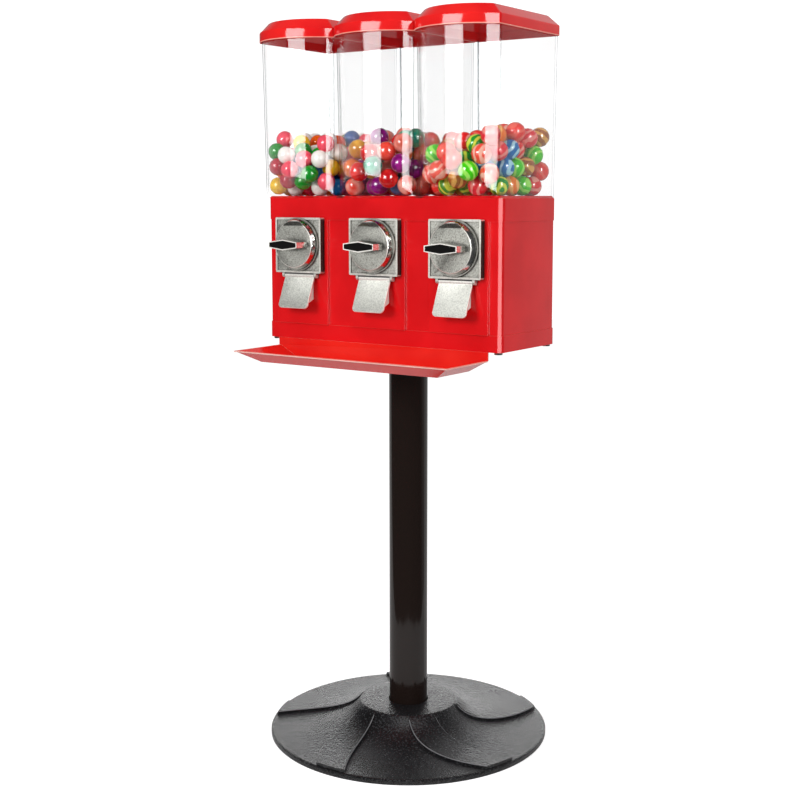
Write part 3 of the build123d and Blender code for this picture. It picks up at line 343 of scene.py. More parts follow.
def ring_mesh(name, rings):
    """Quads between rings of equal point counts, and from the last ring back to the first.

    The face between points i and i + 1 of rings r and r + 1 has the index r * count + i.
    """
    count = len(rings[0])
    faces = []
    for r in range(len(rings)):
        a, b = r * count, (r + 1) % len(rings) * count
        for i in range(count):
            j = (i + 1) % count
            faces.append((a + i, a + j, b + j, b + i))
    mesh = bpy.data.meshes.new(name)
    mesh.from_pydata([tuple(point) for ring in rings for point in ring], [], faces)
    mesh.validate()
    return mesh


BOW_STEPS = 28
CORNER_STEPS = 6
CANISTER_CORNER = 5 * MM
# The share of a corner's radius that is left where the outline is drawn inwards.
LEAST_CORNER = 0.35


class BowedPlan:
    """The plan of a canister or lid: straight back and sides, bowed front, round corners.

    corner_front and bow say how far in front of the machine's middle the corners and the bow's top stand.
    """

    def __init__(self, centre_x, width, back, corner_front, bow):
        self.x, self.half, self.back = centre_x, width / 2, back
        rise = bow - corner_front
        self.radius = (self.half**2 + rise**2) / (2 * rise)
        self.centre_y = self.radius - bow

    def ring(self, grow=0.0, height=0.0):
        """The outline moved out by grow, from the front's left end over the bow, the right and the back."""
        half, radius, back = self.half + grow, self.radius + grow, self.back + grow
        corner = max(CANISTER_CORNER + grow, CANISTER_CORNER * LEAST_CORNER)
        inner_x = half - corner
        reach = radius - corner
        corner_y = self.centre_y - sqrt(reach**2 - inner_x**2)
        turn = atan2(inner_x, self.centre_y - corner_y)
        points = []
        for s in range(BOW_STEPS + 1):
            a = -turn + 2 * turn * s / BOW_STEPS
            points.append((self.x + radius * sin(a), self.centre_y - radius * cos(a)))
        for s in range(1, CORNER_STEPS + 1):
            a = turn + (pi / 2 - turn) * s / CORNER_STEPS
            points.append((self.x + inner_x + corner * sin(a), corner_y - corner * cos(a)))
        for s in range(CORNER_STEPS + 1):
            a = pi / 2 * s / CORNER_STEPS
            points.append((self.x + inner_x + corner * cos(a), back - corner + corner * sin(a)))
        for s in range(CORNER_STEPS + 1):
            a = pi / 2 + pi / 2 * s / CORNER_STEPS
            points.append((self.x - inner_x + corner * cos(a), back - corner + corner * sin(a)))
        for s in range(CORNER_STEPS):
            a = pi / 2 - (pi / 2 - turn) * s / CORNER_STEPS
            points.append((self.x - inner_x - corner * sin(a), corner_y - corner * cos(a)))
        return [Vector((x, y, height)) for x, y in points]


# A canister widens and leans forward from foot to top; its rows of faces lie at these shares of its height.
CANISTER_WALL = 2.6 * MM
CANISTER_LOW_WIDTH = 122 * MM
CANISTER_TOP_WIDTH = 128 * MM
CANISTER_CORNER_FRONT = 80 * MM
CANISTER_BOW = 112 * MM
CANISTER_TAPER = 3 * MM
CANISTER_LIP = 0.4 * MM
CANISTER_ROWS = (0, 0.004, 0.02, 0.25, 0.5, 0.75, 0.985, 0.998)
CHIN_RISE = 33 * MM


def corner_columns():
    """The outline's steps in the middle of its four upright corners."""
    front_right = BOW_STEPS + CORNER_STEPS // 2
    back_right = BOW_STEPS + CORNER_STEPS + 1 + CORNER_STEPS // 2
    back_left = back_right + CORNER_STEPS + 1
    front_left = back_left + CORNER_STEPS + 1
    return {c + side for c in (front_right, back_right, back_left, front_left) for side in (-1, 0)}


def canister_piece(k, clear, corner, seat):
    """A clear canister with true wall thickness, drawn from its plans at foot and top, on a red seat.

    The floor is level inside the body's front, and rises forward from there as the chin.
    """
    low, high = corners(f"canister_{k}")
    band_top = corners("hopper_band")[1].z
    body_front = -corners("hopper_band")[1].y + 1 * MM
    centre_x, back = (low.x + high.x) / 2, high.y
    foot_front, foot_bow = CANISTER_CORNER_FRONT - CANISTER_TAPER, CANISTER_BOW - CANISTER_TAPER
    foot = BowedPlan(centre_x, CANISTER_LOW_WIDTH, back, foot_front, foot_bow)
    head = BowedPlan(centre_x, CANISTER_TOP_WIDTH, back, CANISTER_CORNER_FRONT, CANISTER_BOW)
    slope = CHIN_RISE / (CANISTER_BOW + body_front)

    def wall_ring(grow, share, lift):
        points = []
        for a, b in zip(foot.ring(grow), head.ring(grow)):
            start = band_top + lift + max(0.0, slope * (body_front - a.y))
            base_share = (start - band_top) / (high.z - band_top)
            t = base_share + (1 - base_share) * share
            height = start + (high.z - start) * share
            points.append(Vector((a.x + (b.x - a.x) * t, a.y + (b.y - a.y) * t, height)))
        return points

    def floor_ring(grow, lift):
        return [Vector((p.x, max(p.y, body_front - grow), band_top + lift)) for p in foot.ring(grow)]

    inner_lift = CANISTER_WALL * 1.2
    rings = [floor_ring(0, 0)]
    rings += [wall_ring(0, share, 0) for share in CANISTER_ROWS]
    rings += [wall_ring(-CANISTER_LIP, 1, 0), wall_ring(-CANISTER_WALL + CANISTER_LIP, 1, 0)]
    rings += [wall_ring(-CANISTER_WALL, share, inner_lift) for share in reversed(CANISTER_ROWS)]
    rings += [floor_ring(-CANISTER_WALL, inner_lift)]
    mesh = ring_mesh(f"canister_{k}.shell", rings)
    piece = new_piece(f"canister_{k}.shell", mesh, [clear, corner, seat])
    count, middle = len(rings[0]), corner_columns()
    # Painted shade: the middle of each upright corner takes the greyer clear.
    for face in mesh.polygons:
        if face.index // count == len(rings) - 1:
            face.material_index = 2
        elif face.index % count in middle:
            face.material_index = 1
    soften(piece, 35)
    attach(piece, STAND)
    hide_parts(f"canister_{k}")
    return piece


# A ridge's place and width are shares of the way from the lid's middle to its crown's edge.
LID_FRONT_LAP = 3 * MM
LID_WALL = 1.2 * MM
LID_CLEARANCE = 0.3 * MM
LID_RIM_HEIGHT = 14 * MM
LID_SLOPE_WIDTH = 14 * MM
LID_CROWN_ROUND = 4 * MM
LID_CEILING = 2.4 * MM
LID_RIDGE_DEPTH = 4 * MM
LID_RIDGE_WIDTH = 0.03
LID_RIDGES = (0.2, 0.44, 0.66, 0.86)
LID_LIP_ROWS = {3, 4}


def lid_piece(k, material, edge):
    """A lid: lapping rim with a painted highlight on its lip, sloped crown, and a hollow underside with
    moulded ridges whose lower faces carry a painted highlight.
    """
    low, high = corners(f"lid_{k}")
    centre_x = (low.x + high.x) / 2
    back = high.y - LID_CLEARANCE - LID_WALL
    corner_front, bow = CANISTER_CORNER_FRONT + LID_FRONT_LAP, CANISTER_BOW + LID_FRONT_LAP
    plan = BowedPlan(centre_x, CANISTER_TOP_WIDTH, back, corner_front, bow)
    inside, outside = LID_CLEARANCE, LID_CLEARANCE + LID_WALL
    rim_top, crown = low.z + LID_RIM_HEIGHT, high.z
    crown_edge = outside - LID_SLOPE_WIDTH
    profile = [
        (inside, rim_top - LID_WALL * 1.5),
        (inside, low.z + 0.3 * MM),
        (inside + 0.3 * MM, low.z),
        (outside - 0.4 * MM, low.z),
        (outside, low.z + 0.4 * MM),
        (outside, low.z + 1.3 * MM),
        (outside, rim_top - 1.6 * MM),
        (outside - 0.35 * MM, rim_top - 0.6 * MM),
        (outside - 1.0 * MM, rim_top),
        (outside - 1.8 * MM, rim_top + 0.5 * MM),
        (crown_edge + 1.5 * MM, crown - 1.3 * MM),
        (crown_edge, crown - 0.45 * MM),
        (crown_edge - 1.6 * MM, crown - 0.1 * MM),
        (crown_edge - LID_CROWN_ROUND, crown),
    ]
    rings = [plan.ring(grow, z) for grow, z in profile]
    middle_y = (back - CANISTER_BOW) / 2

    def shrink(z, share):
        hub = Vector((centre_x, middle_y, z))
        return [hub.lerp(point, share) for point in plan.ring(crown_edge - LID_CROWN_ROUND, z)]

    ceiling = crown - LID_CEILING
    rings += [shrink(crown, share) for share in (0.6, 0.25, 0.02)]
    rings += [shrink(ceiling, 0.02)]
    # Painted highlight: the lip's rows and each ridge's lower face take the paler second material.
    pale = set(LID_LIP_ROWS)
    for share in LID_RIDGES:
        pale.add(len(rings) + 1)
        wide = share + LID_RIDGE_WIDTH
        rings += [shrink(ceiling, share), shrink(ceiling - LID_RIDGE_DEPTH, share)]
        rings += [shrink(ceiling - LID_RIDGE_DEPTH, wide), shrink(ceiling, wide)]
    rings += [plan.ring(crown_edge - LID_CEILING, ceiling)]
    rings += [plan.ring(inside - LID_CEILING, rim_top - LID_WALL * 1.2)]
    mesh = ring_mesh(f"lid_{k}.cover", rings)
    piece = new_piece(f"lid_{k}.cover", mesh, [material, edge])
    for face in mesh.polygons:
        if face.index // len(rings[0]) in pale:
            face.material_index = 1
    soften(piece, CREASED_ANGLE)
    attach(piece, f"lid_{k}")
    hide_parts(f"lid_{k}")
    return piece


# The lip lies this far under the pan, and stops this far before the tray's back.
LIP_RADIUS = 0.9 * MM
LIP_UNDER_PAN = 11 * MM
LIP_BEFORE_BACK = 16 * MM


def tray_lip(material):
    """The tray's rolled lip: a fine bead along its two ends and its front."""
    low, high = corners("candy_tray")
    inside = LIP_RADIUS * 1.1
    level = corners("bottom_pan")[0].z - LIP_UNDER_PAN - LIP_RADIUS
    ends = (low.x + inside, high.x - inside)
    front, back = low.y + inside, high.y - LIP_BEFORE_BACK
    line = bpy.data.curves.new("candy_tray.lip", "CURVE")
    line.dimensions = "3D"
    line.bevel_depth = LIP_RADIUS
    line.bevel_resolution = 2
    path = line.splines.new("POLY")
    path.points.add(3)
    turns = ((ends[0], back), (ends[0], front), (ends[1], front), (ends[1], back))
    for point, turn in zip(path.points, turns):
        point.co = (*turn, level, 1)
    drawn = new_piece("candy_tray.line", line, [material])
    graph = bpy.context.evaluated_depsgraph_get()
    mesh = bpy.data.meshes.new_from_object(drawn.evaluated_get(graph), depsgraph=graph)
    bpy.data.objects.remove(drawn)
    bead = new_piece("candy_tray.lip", mesh, [])
    soften(bead, 50)
    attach(bead, STAND)


# A rib is wider at the hub than at its end and sweeps round between them; these match the built part's.
RIB_COUNT = 5
RIB_HEIGHT = 4 * MM
RIB_RIM_ANGLE = radians(13.7)
RIB_HUB_ANGLE = radians(31.7)
RIB_SWIRL = radians(24.5)
RIB_FIRST = radians(-88)
RIB_END = 196 * MM
RIB_CHAMFER = 0.025
RIB_CHAMFER_DROP = 0.8 * MM
RIB_ROWS = range(8, 33)
RIB_STEPS, GAP_STEPS, RADIUS_STEPS = 8, 18, 26
WALL_DRAFT = 0.5 * MM
DISH_WALL = 6 * MM
BASE_RIM = 8 * MM
HUB_RADIUS = 70 * MM
HUB_HEIGHT = 44 * MM
FLARE_PULL = 26 * MM
FLARE_HALVINGS = 40


def flare_height(radius):
    """The dish's height at a radius, on the same curve as the built part's."""
    base_radius = corners("base_casting")[1].x
    knee_r, knee_z = HUB_RADIUS + FLARE_PULL, BASE_RIM
    pulls = [
        (HUB_RADIUS, HUB_HEIGHT),
        (knee_r - 10 * MM, knee_z + 6 * MM),
        (knee_r + 24 * MM, knee_z + 1 * MM),
        (base_radius, BASE_RIM),
    ]
    low, high = 0.0, 1.0
    for _ in range(FLARE_HALVINGS):
        t = (low + high) / 2
        weights = ((1 - t) ** 3, 3 * t * (1 - t) ** 2, 3 * t * t * (1 - t), t**3)
        r = sum(w * p[0] for w, p in zip(weights, pulls))
        z = sum(w * p[1] for w, p in zip(weights, pulls))
        if r < radius:
            low = t
        else:
            high = t
    return z


def base_piece(material, edge):
    """The cast dish with its swept ribs, each with steep side walls and chamfers with a painted highlight.

    A column runs from rim to hub. It holds its rib's start, its place across the rib or across the gap after
    it, and its height over the dish.
    """
    outer = corners("base_casting")[1].x
    radii = [HUB_RADIUS + (RIB_END - HUB_RADIUS) * s / RADIUS_STEPS for s in range(RADIUS_STEPS + 1)]
    columns = []
    highlight_columns = set()
    for rib in range(RIB_COUNT):
        start = RIB_FIRST + rib * 2 * pi / RIB_COUNT
        highlight_columns |= {len(columns), len(columns) + RIB_STEPS + 1}
        inner_shares = (s / RIB_STEPS for s in range(1, RIB_STEPS))
        for share in (0.0, RIB_CHAMFER, *inner_shares, 1 - RIB_CHAMFER, 1.0):
            drop = RIB_CHAMFER_DROP if share in (0.0, 1.0) else 0.0
            columns.append((start, share, 0.0, RIB_HEIGHT - drop))
        for s in range(GAP_STEPS + 1):
            columns.append((start, None, s / GAP_STEPS, 0.0))

    def column_angle(column, radius):
        start, rib_share, gap_share, _ = column
        along = min(1.0, max(0.0, (RIB_END - radius) / (RIB_END - HUB_RADIUS)))
        width = RIB_RIM_ANGLE + (RIB_HUB_ANGLE - RIB_RIM_ANGLE) * along
        sweep = -RIB_SWIRL * along
        if rib_share is not None:
            return start + sweep + width * (rib_share - 0.5)
        draft = WALL_DRAFT / radius
        first = start + sweep + width / 2 + draft
        last = start + sweep - width / 2 + 2 * pi / RIB_COUNT - draft
        return first + (last - first) * gap_share

    def ring(radius, z, lifted):
        points = []
        for column in columns:
            a = column_angle(column, radius)
            rise = column[3] if lifted else 0.0
            points.append(Vector((radius * cos(a), radius * sin(a), z + rise)))
        return points

    edge_profile = [
        (outer - 7 * MM, 2 * MM),
        (outer - 7 * MM, 0.0),
        (outer - 1.2 * MM, 0.0),
        (outer, 1.2 * MM),
        (outer, BASE_RIM - 2 * MM),
        (outer - 0.8 * MM, BASE_RIM - 0.6 * MM),
        (outer - 2.4 * MM, BASE_RIM),
        (RIB_END + 0.4 * MM, flare_height(RIB_END)),
    ]
    hub_profile = [
        (HUB_RADIUS + 0.6 * MM, HUB_HEIGHT - 1.2 * MM),
        (HUB_RADIUS - 0.6 * MM, HUB_HEIGHT - 0.2 * MM),
        (68 * MM, HUB_HEIGHT),
        (50 * MM, HUB_HEIGHT),
        (29 * MM, HUB_HEIGHT),
        (28 * MM, HUB_HEIGHT - 5 * MM),
        (9 * MM, HUB_HEIGHT - 6 * MM),
        (9 * MM, HUB_HEIGHT - 12 * MM),
        (HUB_RADIUS - 6 * MM, HUB_HEIGHT - 8 * MM),
    ]
    under_radii = [r * MM for r in (80, 100, 130, 160, 185)]
    rings = [ring(r, z, False) for r, z in edge_profile]
    rings += [ring(r, flare_height(r), True) for r in reversed(radii[1:])]
    rings += [ring(r, z, False) for r, z in hub_profile]
    rings += [ring(r, flare_height(r) - DISH_WALL, False) for r in under_radii]
    mesh = ring_mesh("base_casting.dish", rings)
    piece = new_piece("base_casting.dish", mesh, [material, edge])
    # Painted highlight: the chamfer columns along each rib take the paler grey.
    for face in mesh.polygons:
        row, column = divmod(face.index, len(columns))
        if column in highlight_columns and row in RIB_ROWS:
            face.material_index = 1
    soften(piece, 32)
    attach(piece, STAND)
    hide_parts("base_casting")
    return piece


# The view fitted to the photograph; lens in millimetres, places in metres.
CAMERA_LENS = 59.914
CAMERA_AZIMUTH = radians(34.515)
CAMERA_PITCH = radians(6.961)
CAMERA_DISTANCE = 1.8761
CAMERA_HEIGHT = 0.771
CAMERA_SHIFT = (-0.0105, -0.05)


def around(azimuth, distance, height):
    """A place at this turn from straight in front, in radians, towards the machine's right."""
    return (distance * sin(azimuth), -distance * cos(azimuth), height)


def set_camera():
    """The photograph's view: from the front right, a little above the body."""
    lens = bpy.data.cameras.new("camera")
    lens.lens = CAMERA_LENS
    lens.sensor_width = 36
    lens.shift_x, lens.shift_y = CAMERA_SHIFT
    camera = bpy.data.objects.new("camera", lens)
    camera.location = around(CAMERA_AZIMUTH, CAMERA_DISTANCE, CAMERA_HEIGHT)
    camera.rotation_euler = (pi / 2 - CAMERA_PITCH, 0, CAMERA_AZIMUTH)
    bpy.context.scene.collection.objects.link(camera)
    bpy.context.scene.camera = camera


# Each place is a turn in degrees, a distance, a height and a width by height, in metres.
SIDE_BOX = (62.5, 1.9, 1.15, (0.84, 1.5))
FRONT_BOX = (-10.5, 2.3, 1.25, (1.5, 1.5))
SIDE_SPOT = (62.5, 1.9, 1.3, (0.5, 0.6))
FRONT_SPOT = (-10.5, 1.9, 1.3, (0.5, 0.6))
# Most lights face the middle of the machine; some face its foot.
MIDDLE = (0, 0, 0.7)
FOOT = (0, 0, 0)


def softbox(name, azimuth, distance, height, size, watts, aim=MIDDLE, seen_by=None):
    """A rectangular light that faces the object, at a turn in degrees from straight in front.

    It lights the colours alone, or with seen_by it is a card whose shine alone shows, in those pieces.
    """
    light = bpy.data.lights.new(name, "AREA")
    light.shape = "RECTANGLE"
    light.size, light.size_y = size
    light.energy = watts
    lamp = bpy.data.objects.new(name, light)
    if seen_by is None:
        lamp.visible_glossy = False
    else:
        lamp.visible_diffuse = False
        group = bpy.data.collections.new(name + "_receivers")
        for piece in seen_by:
            group.objects.link(piece)
        lamp.light_linking.receiver_collection = group
    lamp.location = around(radians(azimuth), distance, height)
    lamp.rotation_euler = (Vector(aim) - lamp.location).to_track_quat("-Z", "Y").to_euler()
    bpy.context.scene.collection.objects.link(lamp)


BACKDROP = 1.2
AMBIENT = 0.5
ROOM_FRONT = (0.06, 0.06, 0.062, 1)
ROOM_BACK = (0.5, 0.5, 0.5, 1)


def set_world():
    """A white studio: white behind the object, even through clear walls.

    The shine sees a dark room that grows paler towards its back wall.
    """
    world = bpy.data.worlds.new("studio")
    bpy.context.scene.world = world
    world.use_nodes = True
    tree = world.node_tree
    tree.nodes.clear()
    path = add(tree, "ShaderNodeLightPath")
    direction = add(tree, "ShaderNodeTexCoord")
    parts = add(tree, "ShaderNodeSeparateXYZ", {0: direction.outputs["Generated"]})
    depth = add(tree, "ShaderNodeMapRange", {0: parts.outputs["Y"], 1: 0.4, 2: 0.9})
    room = ramp(tree, depth.outputs[0], [(0.0, ROOM_FRONT), (1.0, ROOM_BACK)])
    shine = add(tree, "ShaderNodeBackground", {"Color": room, "Strength": 1.0})
    ambient = add(tree, "ShaderNodeBackground", {"Color": WHITE, "Strength": AMBIENT})
    white = add(tree, "ShaderNodeBackground", {"Color": WHITE, "Strength": BACKDROP})
    glossy = path.outputs["Is Glossy Ray"]
    lit = add(tree, "ShaderNodeMixShader", {0: glossy, 1: ambient.outputs[0], 2: shine.outputs[0]})
    seen = add(
        tree,
        "ShaderNodeMath",
        {0: path.outputs["Is Camera Ray"], 1: path.outputs["Is Transmission Ray"]},
        operation="MAXIMUM",
    )
    mixed = add(tree, "ShaderNodeMixShader", {0: seen.outputs[0], 1: lit.outputs[0], 2: white.outputs[0]})
    output = add(tree, "ShaderNodeOutputWorld")
    tree.links.new(mixed.outputs[0], output.inputs[0])


# Turns from the camera's side, in degrees, and how far the floor reaches there, in metres.
SWEEP_EDGE = [(0, 0.56), (20, 0.54), (50, 0.54), (85, 0.56), (105, 0.8), (125, 6.0), (160, 7.0)]
FLOOR_GLOW = 0.64


def set_floor():
    """A plain white paper sweep that keeps the object's shadow; it ends a step in front of the stand."""
    mesh = bpy.data.meshes.new("floor")
    edge = []
    for turn, reach in SWEEP_EDGE[::-1] + [(-turn, reach) for turn, reach in SWEEP_EDGE[1:]]:
        edge.append(around(CAMERA_AZIMUTH + radians(turn), reach, 0))
    mesh.from_pydata(edge, [], [tuple(range(len(edge)))])
    material, tree, output = new_material("studio_floor")
    path = add(tree, "ShaderNodeLightPath")
    matte = add(tree, "ShaderNodeBsdfDiffuse", {"Color": (0.8, 0.8, 0.8, 1)})
    seen = path.outputs["Is Camera Ray"]
    lift = add(tree, "ShaderNodeMath", {0: seen, 1: FLOOR_GLOW}, operation="MULTIPLY")
    glow = add(tree, "ShaderNodeEmission", {"Color": WHITE, "Strength": lift.outputs[0]})
    both = add(tree, "ShaderNodeAddShader", {0: matte.outputs[0], 1: glow.outputs[0]})
    tree.links.new(both.outputs[0], output.inputs[0])
    floor = new_piece("floor", mesh, [material])


def candy_inputs(tree):
    """What a material reads from its ball: two colours, the place on it in radii, and a seed."""
    first = add(tree, "ShaderNodeAttribute", attribute_name="candy_colour").outputs["Color"]
    second = add(tree, "ShaderNodeAttribute", attribute_name="candy_second").outputs["Color"]
    place = add(tree, "ShaderNodeAttribute", attribute_name="candy_place").outputs["Vector"]
    seed = add(tree, "ShaderNodeAttribute", attribute_name="candy_seed").outputs["Fac"]
    return first, second, place, seed


def mixed_colour(tree, share, first, second):
    """One colour turning into another as share goes from 0 to 1."""
    return add(tree, "ShaderNodeMix", {0: share, 6: first, 7: second}, data_type="RGBA").outputs[2]


def glazed_gumball():
    """Sugar shell, panned and waxed: one even strong colour, faintly mottled, with a small clear shine."""
    material, tree, output = new_material("glazed_gumball")
    first, second, _, _ = candy_inputs(tree)
    speck = object_noise(tree, 3.5)
    tone = mixed_colour(tree, spread(tree, speck, 0.0, 0.3), first, second)
    shader = add(
        tree,
        "ShaderNodeBsdfPrincipled",
        {"Base Color": tone, "Roughness": 0.1, "IOR": 1.5, "Normal": bump(tree, speck, 0.2, 0.1)},
    )
    tree.links.new(shader.outputs[0], output.inputs[0])
    return material


def tinted_capsule():
    """Tinted clear styrene shell: deep colour in the middle, a cloud of the filling, and a painted pale sheen
    at its outline.
    """
    material, tree, output = new_material("tinted_capsule")
    first, second, place, seed = candy_inputs(tree)
    cloud = add(
        tree,
        "ShaderNodeTexNoise",
        {"Vector": place, "W": seed, "Scale": 0.8, "Detail": 1.0, "Distortion": 0.6},
        noise_dimensions="4D",
    )
    share = add(tree, "ShaderNodeMapRange", {0: cloud.outputs[0], 1: 0.42, 2: 0.62})
    inside = mixed_colour(tree, share.outputs[0], first, second)
    # Painted sheen: the colour turns pale towards the outline, where the shell would catch light edge-on.
    facing = add(tree, "ShaderNodeLayerWeight", {"Blend": 0.5}).outputs["Facing"]
    rim = add(tree, "ShaderNodeMapRange", {0: facing, 1: 0.62, 2: 0.85, 4: 0.4})
    tone = mixed_colour(tree, rim.outputs[0], inside, hex_colour("F6E6E0"))
    shader = add(
        tree,
        "ShaderNodeBsdfPrincipled",
        {"Base Color": tone, "Roughness": 0.06, "IOR": 1.55, "Coat Weight": 0.5, "Coat Roughness": 0.03},
    )
    tree.links.new(shader.outputs[0], output.inputs[0])
    return material


def swirled_rubber():
    """Two-shot cast rubber: broad swirls of a second colour folded through the first, under a clear gloss."""
    material, tree, output = new_material("swirled_rubber")
    first, second, place, seed = candy_inputs(tree)
    shift = add(tree, "ShaderNodeVectorMath", {0: place, 1: seed}, operation="ADD")
    swirl = add(
        tree,
        "ShaderNodeTexWave",
        {"Vector": shift.outputs[0], "Scale": 0.5, "Distortion": 7.0, "Detail": 2.0, "Detail Scale": 1.0},
        bands_direction="DIAGONAL",
    )
    share = add(tree, "ShaderNodeMapRange", {0: swirl.outputs[1], 1: 0.5, 2: 0.72})
    tone = mixed_colour(tree, share.outputs[0], first, second)
    shader = add(tree, "ShaderNodeBsdfPrincipled", {"Base Color": tone, "Roughness": 0.1, "IOR": 1.5})
    tree.links.new(shader.outputs[0], output.inputs[0])
    return material


GUMBALL_COLOURS = (
    ("FFFDF8", "E8E4DA"),
    ("FFFFFA", "E4E0D4"),
    ("08A024", "007A18"),
    ("0C9428", "00701A"),
    ("0878C4", "00589C"),
    ("FFD010", "F4A800"),
    ("FA6A10", "E04A00"),
    ("C01C38", "98102C"),
    ("F8586C", "E03450"),
)
CAPSULE_COLOURS = (
    ("B8249C", "78086A"),
    ("04A47C", "007458"),
    ("F02820", "C80C14"),
    ("F0B83C", "C88410"),
    ("F49080", "D85A48"),
    ("94148C", "5C0858"),
    ("F04838", "F8A898"),
    ("1484B8", "045C90"),
    ("F08030", "D04C08"),
)
BOUNCY_COLOURS = (
    ("EC2A2C", "F8A094"),
    ("F05440", "F8B8A4"),
    ("1C9C34", "D8E850"),
    ("44D010", "A0F060"),
    ("0C74BC", "A8DCF0"),
    ("F47C20", "FCC070"),
    ("E8303C", "F89088"),
    ("A4602C", "E8B05C"),
    ("F03830", "F46858"),
)
# A ball is a cube of this many points along an edge, blown up round.
BALL_CUTS = 5
FULL_TURN = 6.28
TURN_SEED = 5


def candy_tree(name, material):
    """Geometry nodes: a round ball of this size on every point, turned at random, in that point's colours."""
    tree = bpy.data.node_groups.new(name, "GeometryNodeTree")
    tree.interface.new_socket("Geometry", in_out="INPUT", socket_type="NodeSocketGeometry")
    tree.interface.new_socket("Size", in_out="INPUT", socket_type="NodeSocketFloat")
    tree.interface.new_socket("Geometry", in_out="OUTPUT", socket_type="NodeSocketGeometry")
    start = tree.nodes.new("NodeGroupInput")
    end = tree.nodes.new("NodeGroupOutput")
    cuts = {f"Vertices {axis}": BALL_CUTS for axis in "XYZ"}
    cube = add(tree, "GeometryNodeMeshCube", {"Size": (2, 2, 2), **cuts})
    place = add(tree, "GeometryNodeInputPosition")
    unit = add(tree, "ShaderNodeVectorMath", {0: place.outputs[0]}, operation="NORMALIZE")
    ball = add(tree, "GeometryNodeSetPosition", {"Geometry": cube.outputs[0], "Position": unit.outputs[0]})
    kept = add(
        tree,
        "GeometryNodeStoreNamedAttribute",
        {"Geometry": ball.outputs[0], "Name": "candy_place", "Value": unit.outputs[0]},
        data_type="FLOAT_VECTOR",
        domain="POINT",
    )
    smooth = add(tree, "GeometryNodeSetShadeSmooth", {"Geometry": kept.outputs[0]})
    turns = {0: (0, 0, 0), 1: (FULL_TURN, FULL_TURN, FULL_TURN), "Seed": TURN_SEED}
    turn = add(tree, "FunctionNodeRandomValue", turns, data_type="FLOAT_VECTOR")
    spot = add(
        tree,
        "GeometryNodeInstanceOnPoints",
        {
            "Points": start.outputs[0],
            "Instance": smooth.outputs[0],
            "Rotation": turn.outputs[0],
            "Scale": start.outputs["Size"],
        },
    )
    real = add(tree, "GeometryNodeRealizeInstances", {"Geometry": spot.outputs[0]})
    dressed = add(tree, "GeometryNodeSetMaterial", {"Geometry": real.outputs[0], "Material": material})
    tree.links.new(dressed.outputs[0], end.inputs[0])
    return tree


def ball_centres(node):
    """The centre of every ball in a candies node, and the balls' common radius."""
    form = bmesh.new()
    form.from_mesh(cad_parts[node].data)
    bmesh.ops.remove_doubles(form, verts=form.verts, dist=1e-6)
    form.verts.ensure_lookup_table()
    seen = set()
    centres = []
    radius = 0.0
    for vertex in form.verts:
        if vertex.index in seen:
            continue
        island, queue = [], [vertex]
        seen.add(vertex.index)
        while queue:
            current = queue.pop()
            island.append(current.co)
            for edge in current.link_edges:
                other = edge.other_vert(current)
                if other.index not in seen:
                    seen.add(other.index)
                    queue.append(other)
        low = [min(point[i] for point in island) for i in range(3)]
        high = [max(point[i] for point in island) for i in range(3)]
        centres.append([(a + b) / 2 for a, b in zip(low, high)])
        radius = max(radius, (high[2] - low[2]) / 2)
    form.free()
    return np.array(centres), radius


def candies_piece(k, material, colours, seed):
    """The balls of one canister, each with a pair of colours of its own, the same on every run."""
    centres, radius = ball_centres(f"candies_{k}")
    centres = centres[np.lexsort(np.round(centres, 4).T)]
    picker = np.random.default_rng(seed)
    picks = picker.integers(0, len(colours), len(centres))
    mesh = bpy.data.meshes.new(f"candies_{k}.balls")
    mesh.from_pydata([tuple(c) for c in centres], [], [])
    for shade, name in enumerate(("candy_colour", "candy_second")):
        values = [c for i in picks for c in hex_colour(colours[i][shade])]
        mesh.attributes.new(name, "FLOAT_COLOR", "POINT").data.foreach_set("color", values)
    values = picker.uniform(0, 40, len(centres)).tolist()
    mesh.attributes.new("candy_seed", "FLOAT", "POINT").data.foreach_set("value", values)
    piece = new_piece(f"candies_{k}.balls", mesh, [])
    nodes = piece.modifiers.new("balls", "NODES")
    nodes.node_group = candy_tree(f"balls_{k}", material)
    sockets = {i.name: i.identifier for i in nodes.node_group.interface.items_tree if i.in_out == "INPUT"}
    nodes[sockets["Size"]] = radius
    finish_mesh(piece)
    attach(piece, STAND)
    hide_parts(f"candies_{k}")
    return piece


